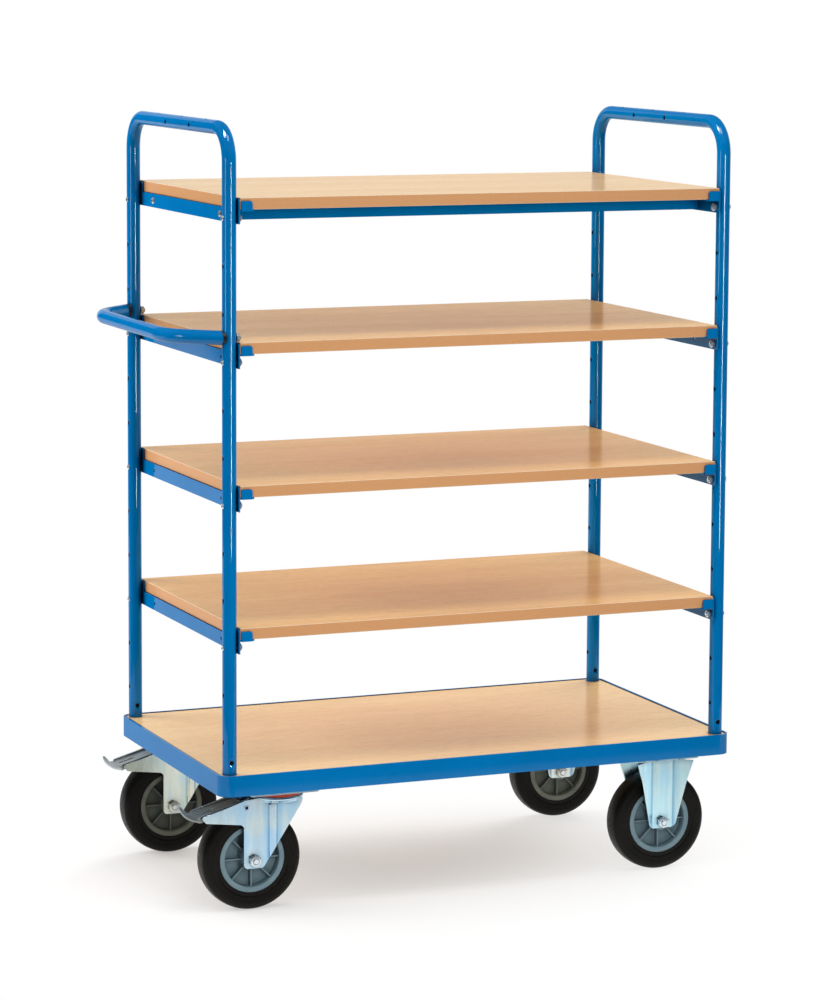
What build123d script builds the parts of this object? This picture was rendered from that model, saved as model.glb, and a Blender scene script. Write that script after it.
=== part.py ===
from build123d import *
import os
from math import cos, hypot, radians, sin, sqrt, tan

os.makedirs("parts", exist_ok=True)

# Sizes in millimetres, heights above the floor

# Boards
board_length = 995.0
board_depth = 600.0
board_thickness = 22.0
board_edge = 0.8
board_gap = 0.4

# Base frame and deck
deck_height = 275.0
base_height = 40.0
base_steel = 4.0
base_corner = 26.0
base_margin_x = 24.6
base_margin_y = 25.0
ledge_width = 30.0
ledge_steel = 3.0
corner_plate = 66.0
pad_steel = 4.0
pad_margin = 6.0
deck_gap = 1.2
deck_drop = 1.2

# End frames: one bent tube each, pressed and drilled at an even pitch
tube_diameter = 27.0
tube_wall = 2.2
frame_bend = 62.0
post_setback = 15.0
hole_diameter = 9.0
hole_pitch = 90.0
hole_count = 12
first_hole_rise = 62.0
dimple_depth = 1.2
dimple_radius = 26.0
top_bar_rise = 165.5
bar_hole_pitch = 140.0
bar_hole_offset = 23.0
base_hole_rise = 23.5
spigot_height = 70.0
spigot_gap = 0.15
set_screw_diameter = 8.0
set_screw_length = 14.0
set_screw_recess = 4.0
set_screw_socket = 4.0

# Screw threads
thread_gap = 0.06
thread_end = 2.0

# Shelf rails
rail_steel = 3.0
rail_flange = 28.0
rail_skirt = 27.0
ear_width = 30.0
ear_below_top = 2.0
ear_corner = 6.0
tab_width = 21.5
tab_inset = 2.0
tab_below_top = 6.0
tab_corner = 5.0
rail_bolt_drop = 16.0
rail_bolt_diameter = 8.0
rail_bolt_head = 11.0
rail_bolt_head_height = 2.2
rail_nut_across = 13.0
rail_nut_height = 6.5
first_shelf_hole = 2
shelf_holes = 3

# Stiffening bars under the top shelf
bar_inset = 100.0
bar_steel = 3.0
bar_height = 25.0
bar_flange = 22.0
bar_bolt_drop = 13.5
bar_bolt_diameter = 6.0
bar_bolt_head = 11.0
bar_bolt_head_height = 3.5
bar_nut_across = 10.0
bar_nut_height = 5.0
bar_gap = 0.5

# Push handle
handle_reach = 97.5
handle_half_width = 205.0
handle_bend = 95.0
handle_rise = 9.0
saddle_thickness = 3.5
saddle_wrap = 3.5
saddle_gap = 0.05
handle_end_plate = 4.0
stud_diameter = 8.0
handle_nut_across = 13.0
handle_nut_height = 7.0
handle_nut_flange = 16.5
handle_nut_rim = 2.0

# Castors
wheel_diameter = 200.0
castor_inset_x = 134.0
castor_inset_y = 70.0
castor_trail = 55.0
plate_length = 140.0
plate_width = 115.0
plate_steel = 6.0
plate_corner = 8.0
plate_holes_x = 114.0
plate_holes_y = 88.0
castor_bolt_diameter = 10.0
castor_hole = 11.0
castor_bolt_head = 19.2
castor_bolt_socket = 6.0
castor_nut_across = 16.0
castor_nut_height = 7.0
bearing_gap = 7.3
run_gap = 0.3
shaft_gap = 0.08
crown_radius = 51.0
crown_steel = 5.0
crown_skirt = 10.0
seal_radius = 52.0
seal_wall = 6.0
ball_circle = 37.0
ball_count = 14
kingpin_diameter = 14.0
kingpin_head = 28.0
kingpin_head_height = 6.0

# Forks
fork_gap = 60.0
fork_steel = 4.0
foot_back = 21.0
foot_front = 18.0
foot_drop = 15.5
horn_reach = 108.0
horn_tip_drop = 30.7
horn_tip_depth = 11.5
horn_root_drop = 50.7
leg_corner = 3.5
leg_foot_corner = 8.0
nose_run = 5.0
nose_drop = 8.0
chin_run = 3.0
chin_drop = 17.0
neck_front = 25.0
neck_back = 20.0
neck_drop = 4.2
knee_back = 60.0
knee_drop = 17.3
horn_tip_cut = 11.0
horn_root_back = 6.0
horn_root_cut = 5.0
bead_offset = 37.0
bead_width = 13.0
bead_top_drop = 8.0
bead_length = 110.0
bead_height = 1.5
fixed_leg_top = 122.0
fixed_leg_shoulder = 98.0
fixed_shoulder_drop = 46.0
fixed_leg_foot = 54.0
fixed_foot_drop = 12.5
fixed_foot_corner = 12.0
fixed_field = 46.0
fixed_wing_lean = 22.0
fixed_wing_gap = 6.0

# Axles
axle_diameter = 12.0
axle_head_across = 20.0
axle_head_height = 7.5
axle_nut_height = 10.0
sleeve_wall = 2.5

# Wheels
tyre_width = 46.0
tread_width = 26.0
tread_crown = 0.9
tyre_shoulder = 14.0
side_step = 1.2
side_step_low = 7.5
side_step_high = 9.0
rim_diameter = 131.0
rim_lip = 10.0
rim_width = 42.0
rim_web = 6.0
rim_taper = 2.0
hub_diameter = 42.0
hub_taper = 3.0
hub_gap = 0.5
rib_count = 8
rib_width = 3.0
rib_depth = 15.0

# Brake pedals
pivot_back = 16.0
pivot_drop = 18.2
pin_diameter = 10.0
pin_bore = 6.6
pin_proud = 0.6
pedal_steel = 3.0
pedal_width = 56.0
pedal_rise = 1.2
pedal_wall = 9.0
pedal_front = 8.0
pedal_travel = 8.0
treadle_width = 125.0
treadle_start = 115.0
treadle_end = 126.0
treadle_bow = 300.0
treadle_lift = 4.5
treadle_lap = 2.0
treadle_step = 0.6
channel_depth = 3.0
pedal_slot_length = 33.0
pedal_slot_width = 9.0
pedal_slot_back = 88.0
shoe_width = 34.0
shoe_front = 32.0
shoe_back = 60.0
shoe_gap = 0.8

# Positions that follow from the sizes
tube_radius = tube_diameter / 2
tube_bore = tube_radius - tube_wall
rail_face = board_length / 2 + board_gap
post_x = rail_face + rail_steel + tube_radius
post_y = board_depth / 2 - post_setback
base_length = 2 * (post_x + base_margin_x)
base_depth = 2 * (post_y + base_margin_y)
handle_end = post_x + handle_reach + tube_radius
mid_x = (handle_end - base_length / 2) / 2
inner_length = base_length - 2 * base_steel
inner_depth = base_depth - 2 * base_steel
inner_corner = base_corner - base_steel

castor_height = deck_height - base_height
ledge_top = deck_height - deck_drop - board_thickness
ledge_bottom = ledge_top - ledge_steel
hole_heights = [deck_height + first_hole_rise + hole_pitch * n for n in range(hole_count)]
bar_height_z = hole_heights[-1] + top_bar_rise
base_hole_height = deck_height + base_hole_rise
level_names = ["bottom", "lower", "upper", "top"]
shelf_bolts = [hole_heights[first_shelf_hole + shelf_holes * n] for n in range(len(level_names))]
board_bottoms = [height + rail_bolt_drop for height in shelf_bolts]
bar_spacing = board_depth - 2 * bar_inset
handle_height = board_bottoms[2] + board_thickness + handle_rise
dimple_centre = tube_radius - dimple_depth + dimple_radius

castor_x = base_length / 2 - castor_inset_x
castor_y = base_depth / 2 - castor_inset_y
axle_height = wheel_diameter / 2
plate_bottom = castor_height - plate_steel
crown_top = plate_bottom - bearing_gap
crown_bottom = crown_top - crown_steel
swivel_x = mid_x - castor_x
swivel_axle_x = swivel_x - castor_trail
fixed_x = mid_x + castor_x
fork_face = fork_gap / 2 + fork_steel
rows = [("front", -castor_y), ("back", castor_y)]
posts = [(mid_x + side * post_x, turn * post_y) for side in (-1, 1) for turn in (-1, 1)]


def save(piece, name):
    """Labels a finished piece and writes it to its own file."""
    piece.part.label = name
    export_step(piece.part, f"parts/{name}.step")


def upright(y):
    """Plane standing across the depth at y, drawn in length and height."""
    return Plane(origin=(0, y, 0), x_dir=(1, 0, 0), z_dir=(0, -1, 0))


def endwise(x):
    """Plane standing across the length at x, drawn in depth and height."""
    return Plane(origin=(x, 0, 0), x_dir=(0, 1, 0), z_dir=(1, 0, 0))


def round_bolt(head, head_height, diameter, length):
    """Button-head bolt, head below its seat at the origin and shank rising along Z."""
    with BuildPart() as bolt:
        Cylinder(head / 2, head_height, align=(Align.CENTER, Align.CENTER, Align.MAX))
        fillet(bolt.edges().group_by(Axis.Z)[0], head_height * 0.45)
        Cylinder(diameter / 2, length, align=(Align.CENTER, Align.CENTER, Align.MIN))
    return bolt.part


def hex_bolt(across, head_height, diameter, length):
    """Hexagon bolt, head below its seat at the origin and shank rising along Z."""
    with BuildPart() as bolt:
        with BuildSketch():
            RegularPolygon(across / 2, 6, major_radius=False)
        extrude(amount=-head_height)
        Cylinder(diameter / 2, length, align=(Align.CENTER, Align.CENTER, Align.MIN))
    return bolt.part


def sunk_bolt(head, socket, diameter, length):
    """Countersunk bolt, its flat head level with the origin and its shank rising along Z."""
    with BuildPart() as bolt:
        head_height = (head - diameter) / 2
        Cone(head / 2, diameter / 2, head_height, align=(Align.CENTER, Align.CENTER, Align.MIN))
        Cylinder(diameter / 2, length, align=(Align.CENTER, Align.CENTER, Align.MIN))
        with BuildSketch():
            RegularPolygon(socket / 2, 6, major_radius=False)
        extrude(amount=socket / 2, mode=Mode.SUBTRACT)
    return bolt.part


def sunk_seat(head, hole):
    """Cone cut for a countersunk head, wide end at the origin, narrowing upward to the hole."""
    wide = head / 2 + thread_gap
    with BuildPart() as seat:
        Cone(wide, hole / 2, wide - hole / 2, align=(Align.CENTER, Align.CENTER, Align.MIN))
    return seat.part


def hex_nut(across, height, diameter):
    """Hexagon nut standing on the origin and rising along Z."""
    with BuildPart() as nut:
        with BuildSketch():
            RegularPolygon(across / 2, 6, major_radius=False)
            Circle(diameter / 2 + thread_gap, mode=Mode.SUBTRACT)
        extrude(amount=height)
    return nut.part


def facing(point, direction):
    """Place at a point with the local Z along the given direction."""
    return Plane(origin=point, z_dir=direction).location


# Base frame: a ring of flat steel with a ledge for the deck, corner plates and castor pads
pad_x = castor_inset_x + plate_length / 2 + pad_margin - base_steel
pad_y = castor_inset_y + plate_width / 2 + pad_margin - base_steel
castor_centres = [(x, y) for x in (swivel_x, fixed_x) for name, y in rows]
with BuildPart() as base_frame:
    with BuildSketch(Plane.XY.offset(castor_height)):
        with Locations((mid_x, 0)):
            RectangleRounded(base_length, base_depth, base_corner)
            RectangleRounded(inner_length, inner_depth, inner_corner, mode=Mode.SUBTRACT)
    extrude(amount=base_height)
    with BuildSketch(Plane.XY.offset(ledge_bottom)):
        with Locations((mid_x, 0)):
            RectangleRounded(inner_length, inner_depth, inner_corner)
            for edge_x, edge_y in ((ledge_width, corner_plate), (corner_plate, ledge_width)):
                Rectangle(inner_length - 2 * edge_x, inner_depth - 2 * edge_y, mode=Mode.SUBTRACT)
    extrude(amount=ledge_steel)
    with BuildSketch(Plane.XY.offset(castor_height)):
        with Locations((mid_x, 0)):
            RectangleRounded(inner_length, inner_depth, inner_corner)
            Rectangle(inner_length, inner_depth - 2 * pad_y, mode=Mode.SUBTRACT)
            Rectangle(inner_length - 2 * pad_x, inner_depth, mode=Mode.SUBTRACT)
        with Locations(castor_centres):
            with GridLocations(plate_holes_x, plate_holes_y, 2, 2):
                Circle(castor_hole / 2, mode=Mode.SUBTRACT)
    extrude(amount=pad_steel)
save(base_frame, "base_frame")

# Deck board, dropped into the base frame just below its rim and bored for the posts
with BuildPart() as deck_board:
    with BuildSketch(Plane.XY.offset(ledge_top)):
        with Locations((mid_x, 0)):
            deck_length = inner_length - 2 * deck_gap
            deck_depth = inner_depth - 2 * deck_gap
            RectangleRounded(deck_length, deck_depth, inner_corner - deck_gap)
        with Locations(posts):
            Circle(tube_radius + board_gap, mode=Mode.SUBTRACT)
    extrude(amount=board_thickness)
save(deck_board, "deck_board")

# Spigots standing on the corner plates, tapped for the set screws
with BuildPart() as post_spigots:
    with BuildSketch(Plane.XY.offset(ledge_top)):
        with Locations(posts):
            Circle(tube_bore - spigot_gap)
    extrude(amount=spigot_height)
    with Locations([(x, y, base_hole_height) for x, y in posts]):
        screw_hole = set_screw_diameter / 2 + thread_gap
        Cylinder(screw_hole, tube_diameter, rotation=(90, 0, 0), mode=Mode.SUBTRACT)
save(post_spigots, "post_spigots")

# Set screws with a hexagon socket, sunk in the holes near the foot of each post
with BuildPart() as post_screws:
    for x, y in posts:
        with BuildSketch(upright(y - tube_radius + set_screw_recess)):
            with Locations((x, base_hole_height)):
                Circle(set_screw_diameter / 2)
        extrude(amount=-set_screw_length)
        with BuildSketch(upright(y - tube_radius + set_screw_recess)):
            with Locations((x, base_hole_height)):
                RegularPolygon(set_screw_socket / 2, 6, major_radius=False)
        extrude(amount=-set_screw_socket, mode=Mode.SUBTRACT)
save(post_screws, "post_screws")

# End frames: the same bent tube at both ends, the right one turned half round
for frame_name, side in (("left", -1), ("right", 1)):
    frame_x = mid_x + side * post_x
    drilled = [(frame_x, turn * post_y, height) for turn in (-1, 1) for height in hole_heights]
    if side < 0:
        drilled += [(frame_x, turn * post_y, handle_height) for turn in (-1, 1)]
    bar_tops = [side * (bar_hole_offset + bar_hole_pitch * n) for n in (-1, 0, 1)]
    bar_sides = [side * (bar_hole_offset + bar_hole_pitch * n) for n in (-0.5, 0.5)]
    with BuildPart() as end_frame:
        with BuildLine() as frame_line:
            FilletPolyline(
                (frame_x, -post_y, ledge_top),
                (frame_x, -post_y, bar_height_z),
                (frame_x, post_y, bar_height_z),
                (frame_x, post_y, ledge_top),
                radius=frame_bend,
            )
        with BuildSketch(Plane(origin=(frame_x, -post_y, ledge_top), z_dir=(0, 0, 1))):
            Circle(tube_radius)
            Circle(tube_bore, mode=Mode.SUBTRACT)
        sweep(path=frame_line.line)
        dimple_faces = [frame_x - dimple_centre, frame_x + dimple_centre]
        with Locations([(x, 0, height) for x in dimple_faces for height in hole_heights]):
            Cylinder(dimple_radius, 2 * post_y + tube_diameter, rotation=(90, 0, 0), mode=Mode.SUBTRACT)
        with Locations(drilled):
            Cylinder(hole_diameter / 2, 1.5 * tube_diameter, rotation=(0, 90, 0), mode=Mode.SUBTRACT)
        with Locations([(frame_x, y, bar_height_z + dimple_centre) for y in bar_tops]):
            Cylinder(dimple_radius, tube_diameter, rotation=(0, 90, 0), mode=Mode.SUBTRACT)
        with Locations([(frame_x, y, bar_height_z) for y in bar_tops]):
            Cylinder(hole_diameter / 2, 1.5 * tube_diameter, mode=Mode.SUBTRACT)
        with Locations([(x, y, bar_height_z) for x in dimple_faces for y in bar_sides]):
            Cylinder(dimple_radius, tube_diameter, mode=Mode.SUBTRACT)
        with Locations([(frame_x, y, bar_height_z) for y in bar_sides]):
            Cylinder(hole_diameter / 2, 1.5 * tube_diameter, rotation=(0, 90, 0), mode=Mode.SUBTRACT)
        foot_faces = [turn * post_y + face * dimple_centre for turn in (-1, 1) for face in (-1, 1)]
        with Locations([(frame_x, y, base_hole_height) for y in foot_faces]):
            Cylinder(dimple_radius, tube_diameter, rotation=(0, 90, 0), mode=Mode.SUBTRACT)
        with Locations([(frame_x, turn * post_y, base_hole_height) for turn in (-1, 1)]):
            Cylinder(hole_diameter / 2, 1.5 * tube_diameter, rotation=(90, 0, 0), mode=Mode.SUBTRACT)
    save(end_frame, f"{frame_name}_end_frame")

# Shelf boards
for level, board_bottom in zip(level_names, board_bottoms):
    with BuildPart() as shelf_board:
        with BuildSketch(Plane.XY.offset(board_bottom)):
            with Locations((mid_x, 0)):
                Rectangle(board_length, board_depth)
        extrude(amount=board_thickness)
        levels = shelf_board.edges().group_by(Axis.Z)
        chamfer(levels[0] + levels[-1], board_edge)
    save(shelf_board, f"shelf_board_{level}")

# Shelf rails: an angle under the board's end, ears bolted to the posts, tabs turned up at both edges
rail_half = post_y + ear_width / 2
tab_face = board_depth / 2 + board_gap
for side_name, side in (("left", -1), ("right", 1)):
    for level, board_bottom in zip(level_names, board_bottoms):
        ear_top = board_bottom + board_thickness - ear_below_top
        skirt_bottom = board_bottom - rail_skirt
        tab_top = board_bottom + board_thickness - tab_below_top
        inner_x = mid_x + side * rail_face
        tab_middle = mid_x + side * (rail_face - tab_inset - tab_width / 2)
        with BuildPart() as rail:
            with BuildSketch(endwise(inner_x)):
                with Locations((0, (skirt_bottom + board_bottom) / 2)):
                    Rectangle(2 * rail_half, rail_skirt)
                with Locations([(turn * post_y, (skirt_bottom + ear_top) / 2) for turn in (-1, 1)]):
                    RectangleRounded(ear_width, ear_top - skirt_bottom, ear_corner)
                with Locations([(turn * post_y, board_bottom - rail_bolt_drop) for turn in (-1, 1)]):
                    Circle(hole_diameter / 2, mode=Mode.SUBTRACT)
                bar_y = bar_spacing / 2
                with Locations([(y, board_bottom - bar_bolt_drop) for y in (-bar_y, bar_y)]):
                    Circle(bar_bolt_diameter / 2 + board_gap, mode=Mode.SUBTRACT)
            extrude(amount=side * rail_steel)
            with BuildSketch(Plane.XY.offset(board_bottom)):
                with Locations((mid_x + side * (rail_face - rail_flange / 2), 0)):
                    Rectangle(rail_flange, 2 * rail_half)
                with Locations((tab_middle, 0)):
                    Rectangle(tab_width, 2 * (tab_face + rail_steel))
            extrude(amount=-rail_steel)
            for turn in (-1, 1):
                with BuildSketch(upright(turn * tab_face)):
                    with Locations((tab_middle, (board_bottom - rail_steel + tab_top) / 2)):
                        Rectangle(tab_width, tab_top - board_bottom + rail_steel)
                    corner_x = tab_middle - side * (tab_width / 2 - tab_corner)
                    with Locations((corner_x - side * tab_corner / 2, tab_top - tab_corner / 2)):
                        Rectangle(tab_corner, tab_corner, mode=Mode.SUBTRACT)
                    with Locations((corner_x, tab_top - tab_corner)):
                        Circle(tab_corner)
                extrude(amount=-turn * rail_steel)
        save(rail, f"rail_{side_name}_{level}")

# Bolts that hold the rails to the posts, their round heads sunk in the dimples, and the nuts inside
seat_rise = (rail_bolt_head / 2) ** 2 / (2 * dimple_radius)
bolt_seat = tube_radius - dimple_depth + seat_rise
rail_bolt_length = tube_radius + bolt_seat + rail_steel + rail_nut_height + thread_end
rail_bolt = round_bolt(rail_bolt_head, rail_bolt_head_height, rail_bolt_diameter, rail_bolt_length)
rail_nut = hex_nut(rail_nut_across, rail_nut_height, rail_bolt_diameter)
rail_points = [(side, turn, height) for side in (-1, 1) for turn in (-1, 1) for height in shelf_bolts]
with BuildPart() as rail_bolts:
    for side, turn, height in rail_points:
        seat = (mid_x + side * (post_x + bolt_seat), turn * post_y, height)
        with Locations(facing(seat, (-side, 0, 0))):
            add(rail_bolt)
save(rail_bolts, "rail_bolts")
with BuildPart() as rail_nuts:
    for side, turn, height in rail_points:
        with Locations(facing((mid_x + side * rail_face, turn * post_y, height), (-side, 0, 0))):
            add(rail_nut)
save(rail_nuts, "rail_nuts")

# Stiffening bars along the underside of the top shelf, their end tabs bolted to the rails
top_bottom = board_bottoms[-1]
bar_end = rail_face - bar_gap / 2
bar_clear = rail_face - rail_flange - bar_gap
for bar_name, turn in (("front", -1), ("back", 1)):
    bar_y = turn * bar_spacing / 2
    web_y = bar_y + turn * bar_flange / 2
    with BuildPart() as stiffening_bar:
        with BuildSketch(upright(web_y)):
            with Locations((mid_x, top_bottom - bar_height / 2)):
                Rectangle(2 * bar_clear, bar_height)
            with Locations((mid_x, top_bottom - (rail_steel + bar_gap + bar_height) / 2)):
                Rectangle(2 * bar_end, bar_height - rail_steel - bar_gap)
        extrude(amount=turn * bar_steel)
        with BuildSketch(Plane.XY.offset(top_bottom)):
            with Locations((mid_x, bar_y)):
                Rectangle(2 * bar_clear, bar_flange)
        extrude(amount=-bar_steel)
        for side in (-1, 1):
            with BuildSketch(endwise(mid_x + side * bar_end)):
                with Locations((bar_y, top_bottom - (rail_steel + bar_gap + bar_height) / 2)):
                    Rectangle(bar_flange, bar_height - rail_steel - bar_gap)
                with Locations((bar_y, top_bottom - bar_bolt_drop)):
                    Circle(bar_bolt_diameter / 2 + board_gap, mode=Mode.SUBTRACT)
            extrude(amount=-side * bar_steel)
    save(stiffening_bar, f"stiffening_bar_{bar_name}")

# Bolts and nuts of the stiffening bars
bar_bolt_length = rail_steel + bar_gap / 2 + bar_steel + bar_nut_height + thread_end
bar_bolt = round_bolt(bar_bolt_head, bar_bolt_head_height, bar_bolt_diameter, bar_bolt_length)
bar_nut = hex_nut(bar_nut_across, bar_nut_height, bar_bolt_diameter)
bar_points = [(side, turn * bar_spacing / 2) for side in (-1, 1) for turn in (-1, 1)]
bar_bolt_height = top_bottom - bar_bolt_drop
with BuildPart() as bar_bolts:
    for side, y in bar_points:
        seat = (mid_x + side * (rail_face + rail_steel), y, bar_bolt_height)
        with Locations(facing(seat, (-side, 0, 0))):
            add(bar_bolt)
save(bar_bolts, "stiffening_bar_bolts")
with BuildPart() as bar_nuts:
    for side, y in bar_points:
        seat = (mid_x + side * (bar_end - bar_steel), y, bar_bolt_height)
        with Locations(facing(seat, (-side, 0, 0))):
            add(bar_nut)
save(bar_nuts, "stiffening_bar_nuts")

# Push handle: a bent tube whose slanting ends are closed by plates that carry the studs
post_face = mid_x - post_x - tube_radius
bar_x = mid_x - post_x - handle_reach
arm_run = post_face - bar_x
arm_spread = post_y - handle_half_width
arm_length = hypot(arm_run, arm_spread)
arm_slope = arm_spread / arm_run
handle_cut = post_face - saddle_thickness
cut_y = post_y - saddle_thickness * arm_slope
end_long = tube_radius * arm_length / arm_run
over = tube_diameter
with BuildPart() as push_handle:
    with BuildLine() as handle_line:
        FilletPolyline(
            (post_face + over, -post_y - over * arm_slope, handle_height),
            (bar_x, -handle_half_width, handle_height),
            (bar_x, handle_half_width, handle_height),
            (post_face + over, post_y + over * arm_slope, handle_height),
            radius=handle_bend,
        )
    with BuildSketch(Plane(handle_line.line @ 0, z_dir=handle_line.line % 0)):
        Circle(tube_radius)
        Circle(tube_bore, mode=Mode.SUBTRACT)
    sweep(path=handle_line.line)
    with Locations((handle_cut, 0, handle_height)):
        Box(
            4 * over,
            3 * board_depth,
            2 * tube_diameter,
            align=(Align.MIN, Align.CENTER, Align.CENTER),
            mode=Mode.SUBTRACT,
        )
    for turn in (-1, 1):
        with BuildSketch(endwise(handle_cut)):
            with Locations((turn * cut_y, handle_height)):
                Ellipse(end_long, tube_radius)
        extrude(amount=handle_end_plate * arm_length / arm_run, dir=(-arm_run, -turn * arm_spread, 0))
    with Locations([(handle_cut, turn * post_y, handle_height) for turn in (-1, 1)]):
        stud_hole = stud_diameter / 2 + thread_gap
        Cylinder(stud_hole, 4 * handle_end_plate, rotation=(0, 90, 0), mode=Mode.SUBTRACT)
save(push_handle, "push_handle")

# Black saddles between the handle's ends and the round posts
with BuildPart() as handle_saddles:
    for turn in (-1, 1):
        with BuildSketch(endwise(handle_cut)):
            with Locations((turn * cut_y, handle_height)):
                Ellipse(end_long, tube_radius)
        extrude(amount=saddle_thickness + saddle_wrap)
    with BuildSketch(Plane.XY.offset(handle_height - tube_diameter)):
        with Locations([(mid_x - post_x, turn * post_y) for turn in (-1, 1)]):
            Circle(tube_radius + saddle_gap)
    extrude(amount=2 * tube_diameter, mode=Mode.SUBTRACT)
    with Locations([(post_face, turn * post_y, handle_height) for turn in (-1, 1)]):
        Cylinder(hole_diameter / 2, 2 * tube_diameter, rotation=(0, 90, 0), mode=Mode.SUBTRACT)
save(handle_saddles, "handle_saddles")

# Studs through the posts and the flange nuts on their far side
stud_length = handle_end_plate + saddle_thickness + tube_diameter + handle_nut_height + thread_end
with BuildPart() as handle_studs:
    with BuildSketch(endwise(handle_cut - handle_end_plate)):
        with Locations([(turn * post_y, handle_height) for turn in (-1, 1)]):
            Circle(stud_diameter / 2)
    extrude(amount=stud_length)
save(handle_studs, "handle_studs")
nut_face = post_face + tube_diameter + saddle_gap
with BuildPart() as handle_nuts:
    with BuildSketch(endwise(nut_face)):
        with Locations([(turn * post_y, handle_height) for turn in (-1, 1)]):
            Circle(handle_nut_flange / 2)
    extrude(amount=handle_nut_rim)
    with BuildSketch(endwise(nut_face)):
        with Locations([(turn * post_y, handle_height) for turn in (-1, 1)]):
            RegularPolygon(handle_nut_across / 2, 6, major_radius=False)
    extrude(amount=handle_nut_height)
    with Locations([(nut_face, turn * post_y, handle_height) for turn in (-1, 1)]):
        Cylinder(stud_hole, 4 * handle_nut_height, rotation=(0, 90, 0), mode=Mode.SUBTRACT)
save(handle_nuts, "handle_nuts")

# Countersunk bolts up through the castor plates and the nuts on the pads above
castor_bolt_length = plate_steel + pad_steel + castor_nut_height + thread_end
castor_bolt = sunk_bolt(castor_bolt_head, castor_bolt_socket, castor_bolt_diameter, castor_bolt_length)
castor_seat = sunk_seat(castor_bolt_head, castor_hole)
castor_nut = hex_nut(castor_nut_across, castor_nut_height, castor_bolt_diameter)
with BuildPart() as castor_bolts:
    with Locations([(x, y, plate_bottom) for x, y in castor_centres]):
        with GridLocations(plate_holes_x, plate_holes_y, 2, 2):
            add(castor_bolt)
save(castor_bolts, "castor_bolts")
with BuildPart() as castor_nuts:
    with Locations([(x, y, castor_height + pad_steel) for x, y in castor_centres]):
        with GridLocations(plate_holes_x, plate_holes_y, 2, 2):
            add(castor_nut)
save(castor_nuts, "castor_nuts")

# Top plates of the swivel castors
swivel_centres = [(swivel_x, y) for name, y in rows]
with BuildPart() as swivel_plates:
    with BuildSketch(Plane.XY.offset(plate_bottom)):
        with Locations(swivel_centres):
            RectangleRounded(plate_length, plate_width, plate_corner)
            Circle(kingpin_diameter / 2 + thread_gap, mode=Mode.SUBTRACT)
            with GridLocations(plate_holes_x, plate_holes_y, 2, 2):
                Circle(castor_hole / 2, mode=Mode.SUBTRACT)
    extrude(amount=plate_steel)
    with Locations([(x, y, plate_bottom) for x, y in swivel_centres]):
        with GridLocations(plate_holes_x, plate_holes_y, 2, 2):
            add(castor_seat, mode=Mode.SUBTRACT)
save(swivel_plates, "swivel_plates")

# Kingpins: headed below the crown, riveted flush into the plate
with BuildPart() as kingpins:
    with BuildSketch(Plane.XY.offset(castor_height)):
        with Locations(swivel_centres):
            Circle(kingpin_diameter / 2)
    extrude(amount=-(castor_height - crown_bottom + run_gap))
    with BuildSketch(Plane.XY.offset(crown_bottom - run_gap)):
        with Locations(swivel_centres):
            Circle(kingpin_head / 2)
    extrude(amount=-kingpin_head_height)
save(kingpins, "kingpins")

# Red dust seals round the swivel bearing
with BuildPart() as swivel_seals:
    with BuildSketch(Plane.XY.offset(plate_bottom)):
        with Locations(swivel_centres):
            Circle(seal_radius)
            Circle(seal_radius - seal_wall, mode=Mode.SUBTRACT)
    extrude(amount=-(bearing_gap - run_gap))
save(swivel_seals, "swivel_seals")

# Bearing balls between plate and crown
ball_radius = bearing_gap / 2 - run_gap
with BuildPart() as swivel_balls:
    with Locations([(x, y, plate_bottom - bearing_gap / 2) for x, y in swivel_centres]):
        with PolarLocations(ball_circle, ball_count):
            Sphere(ball_radius)
save(swivel_balls, "swivel_balls")

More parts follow.
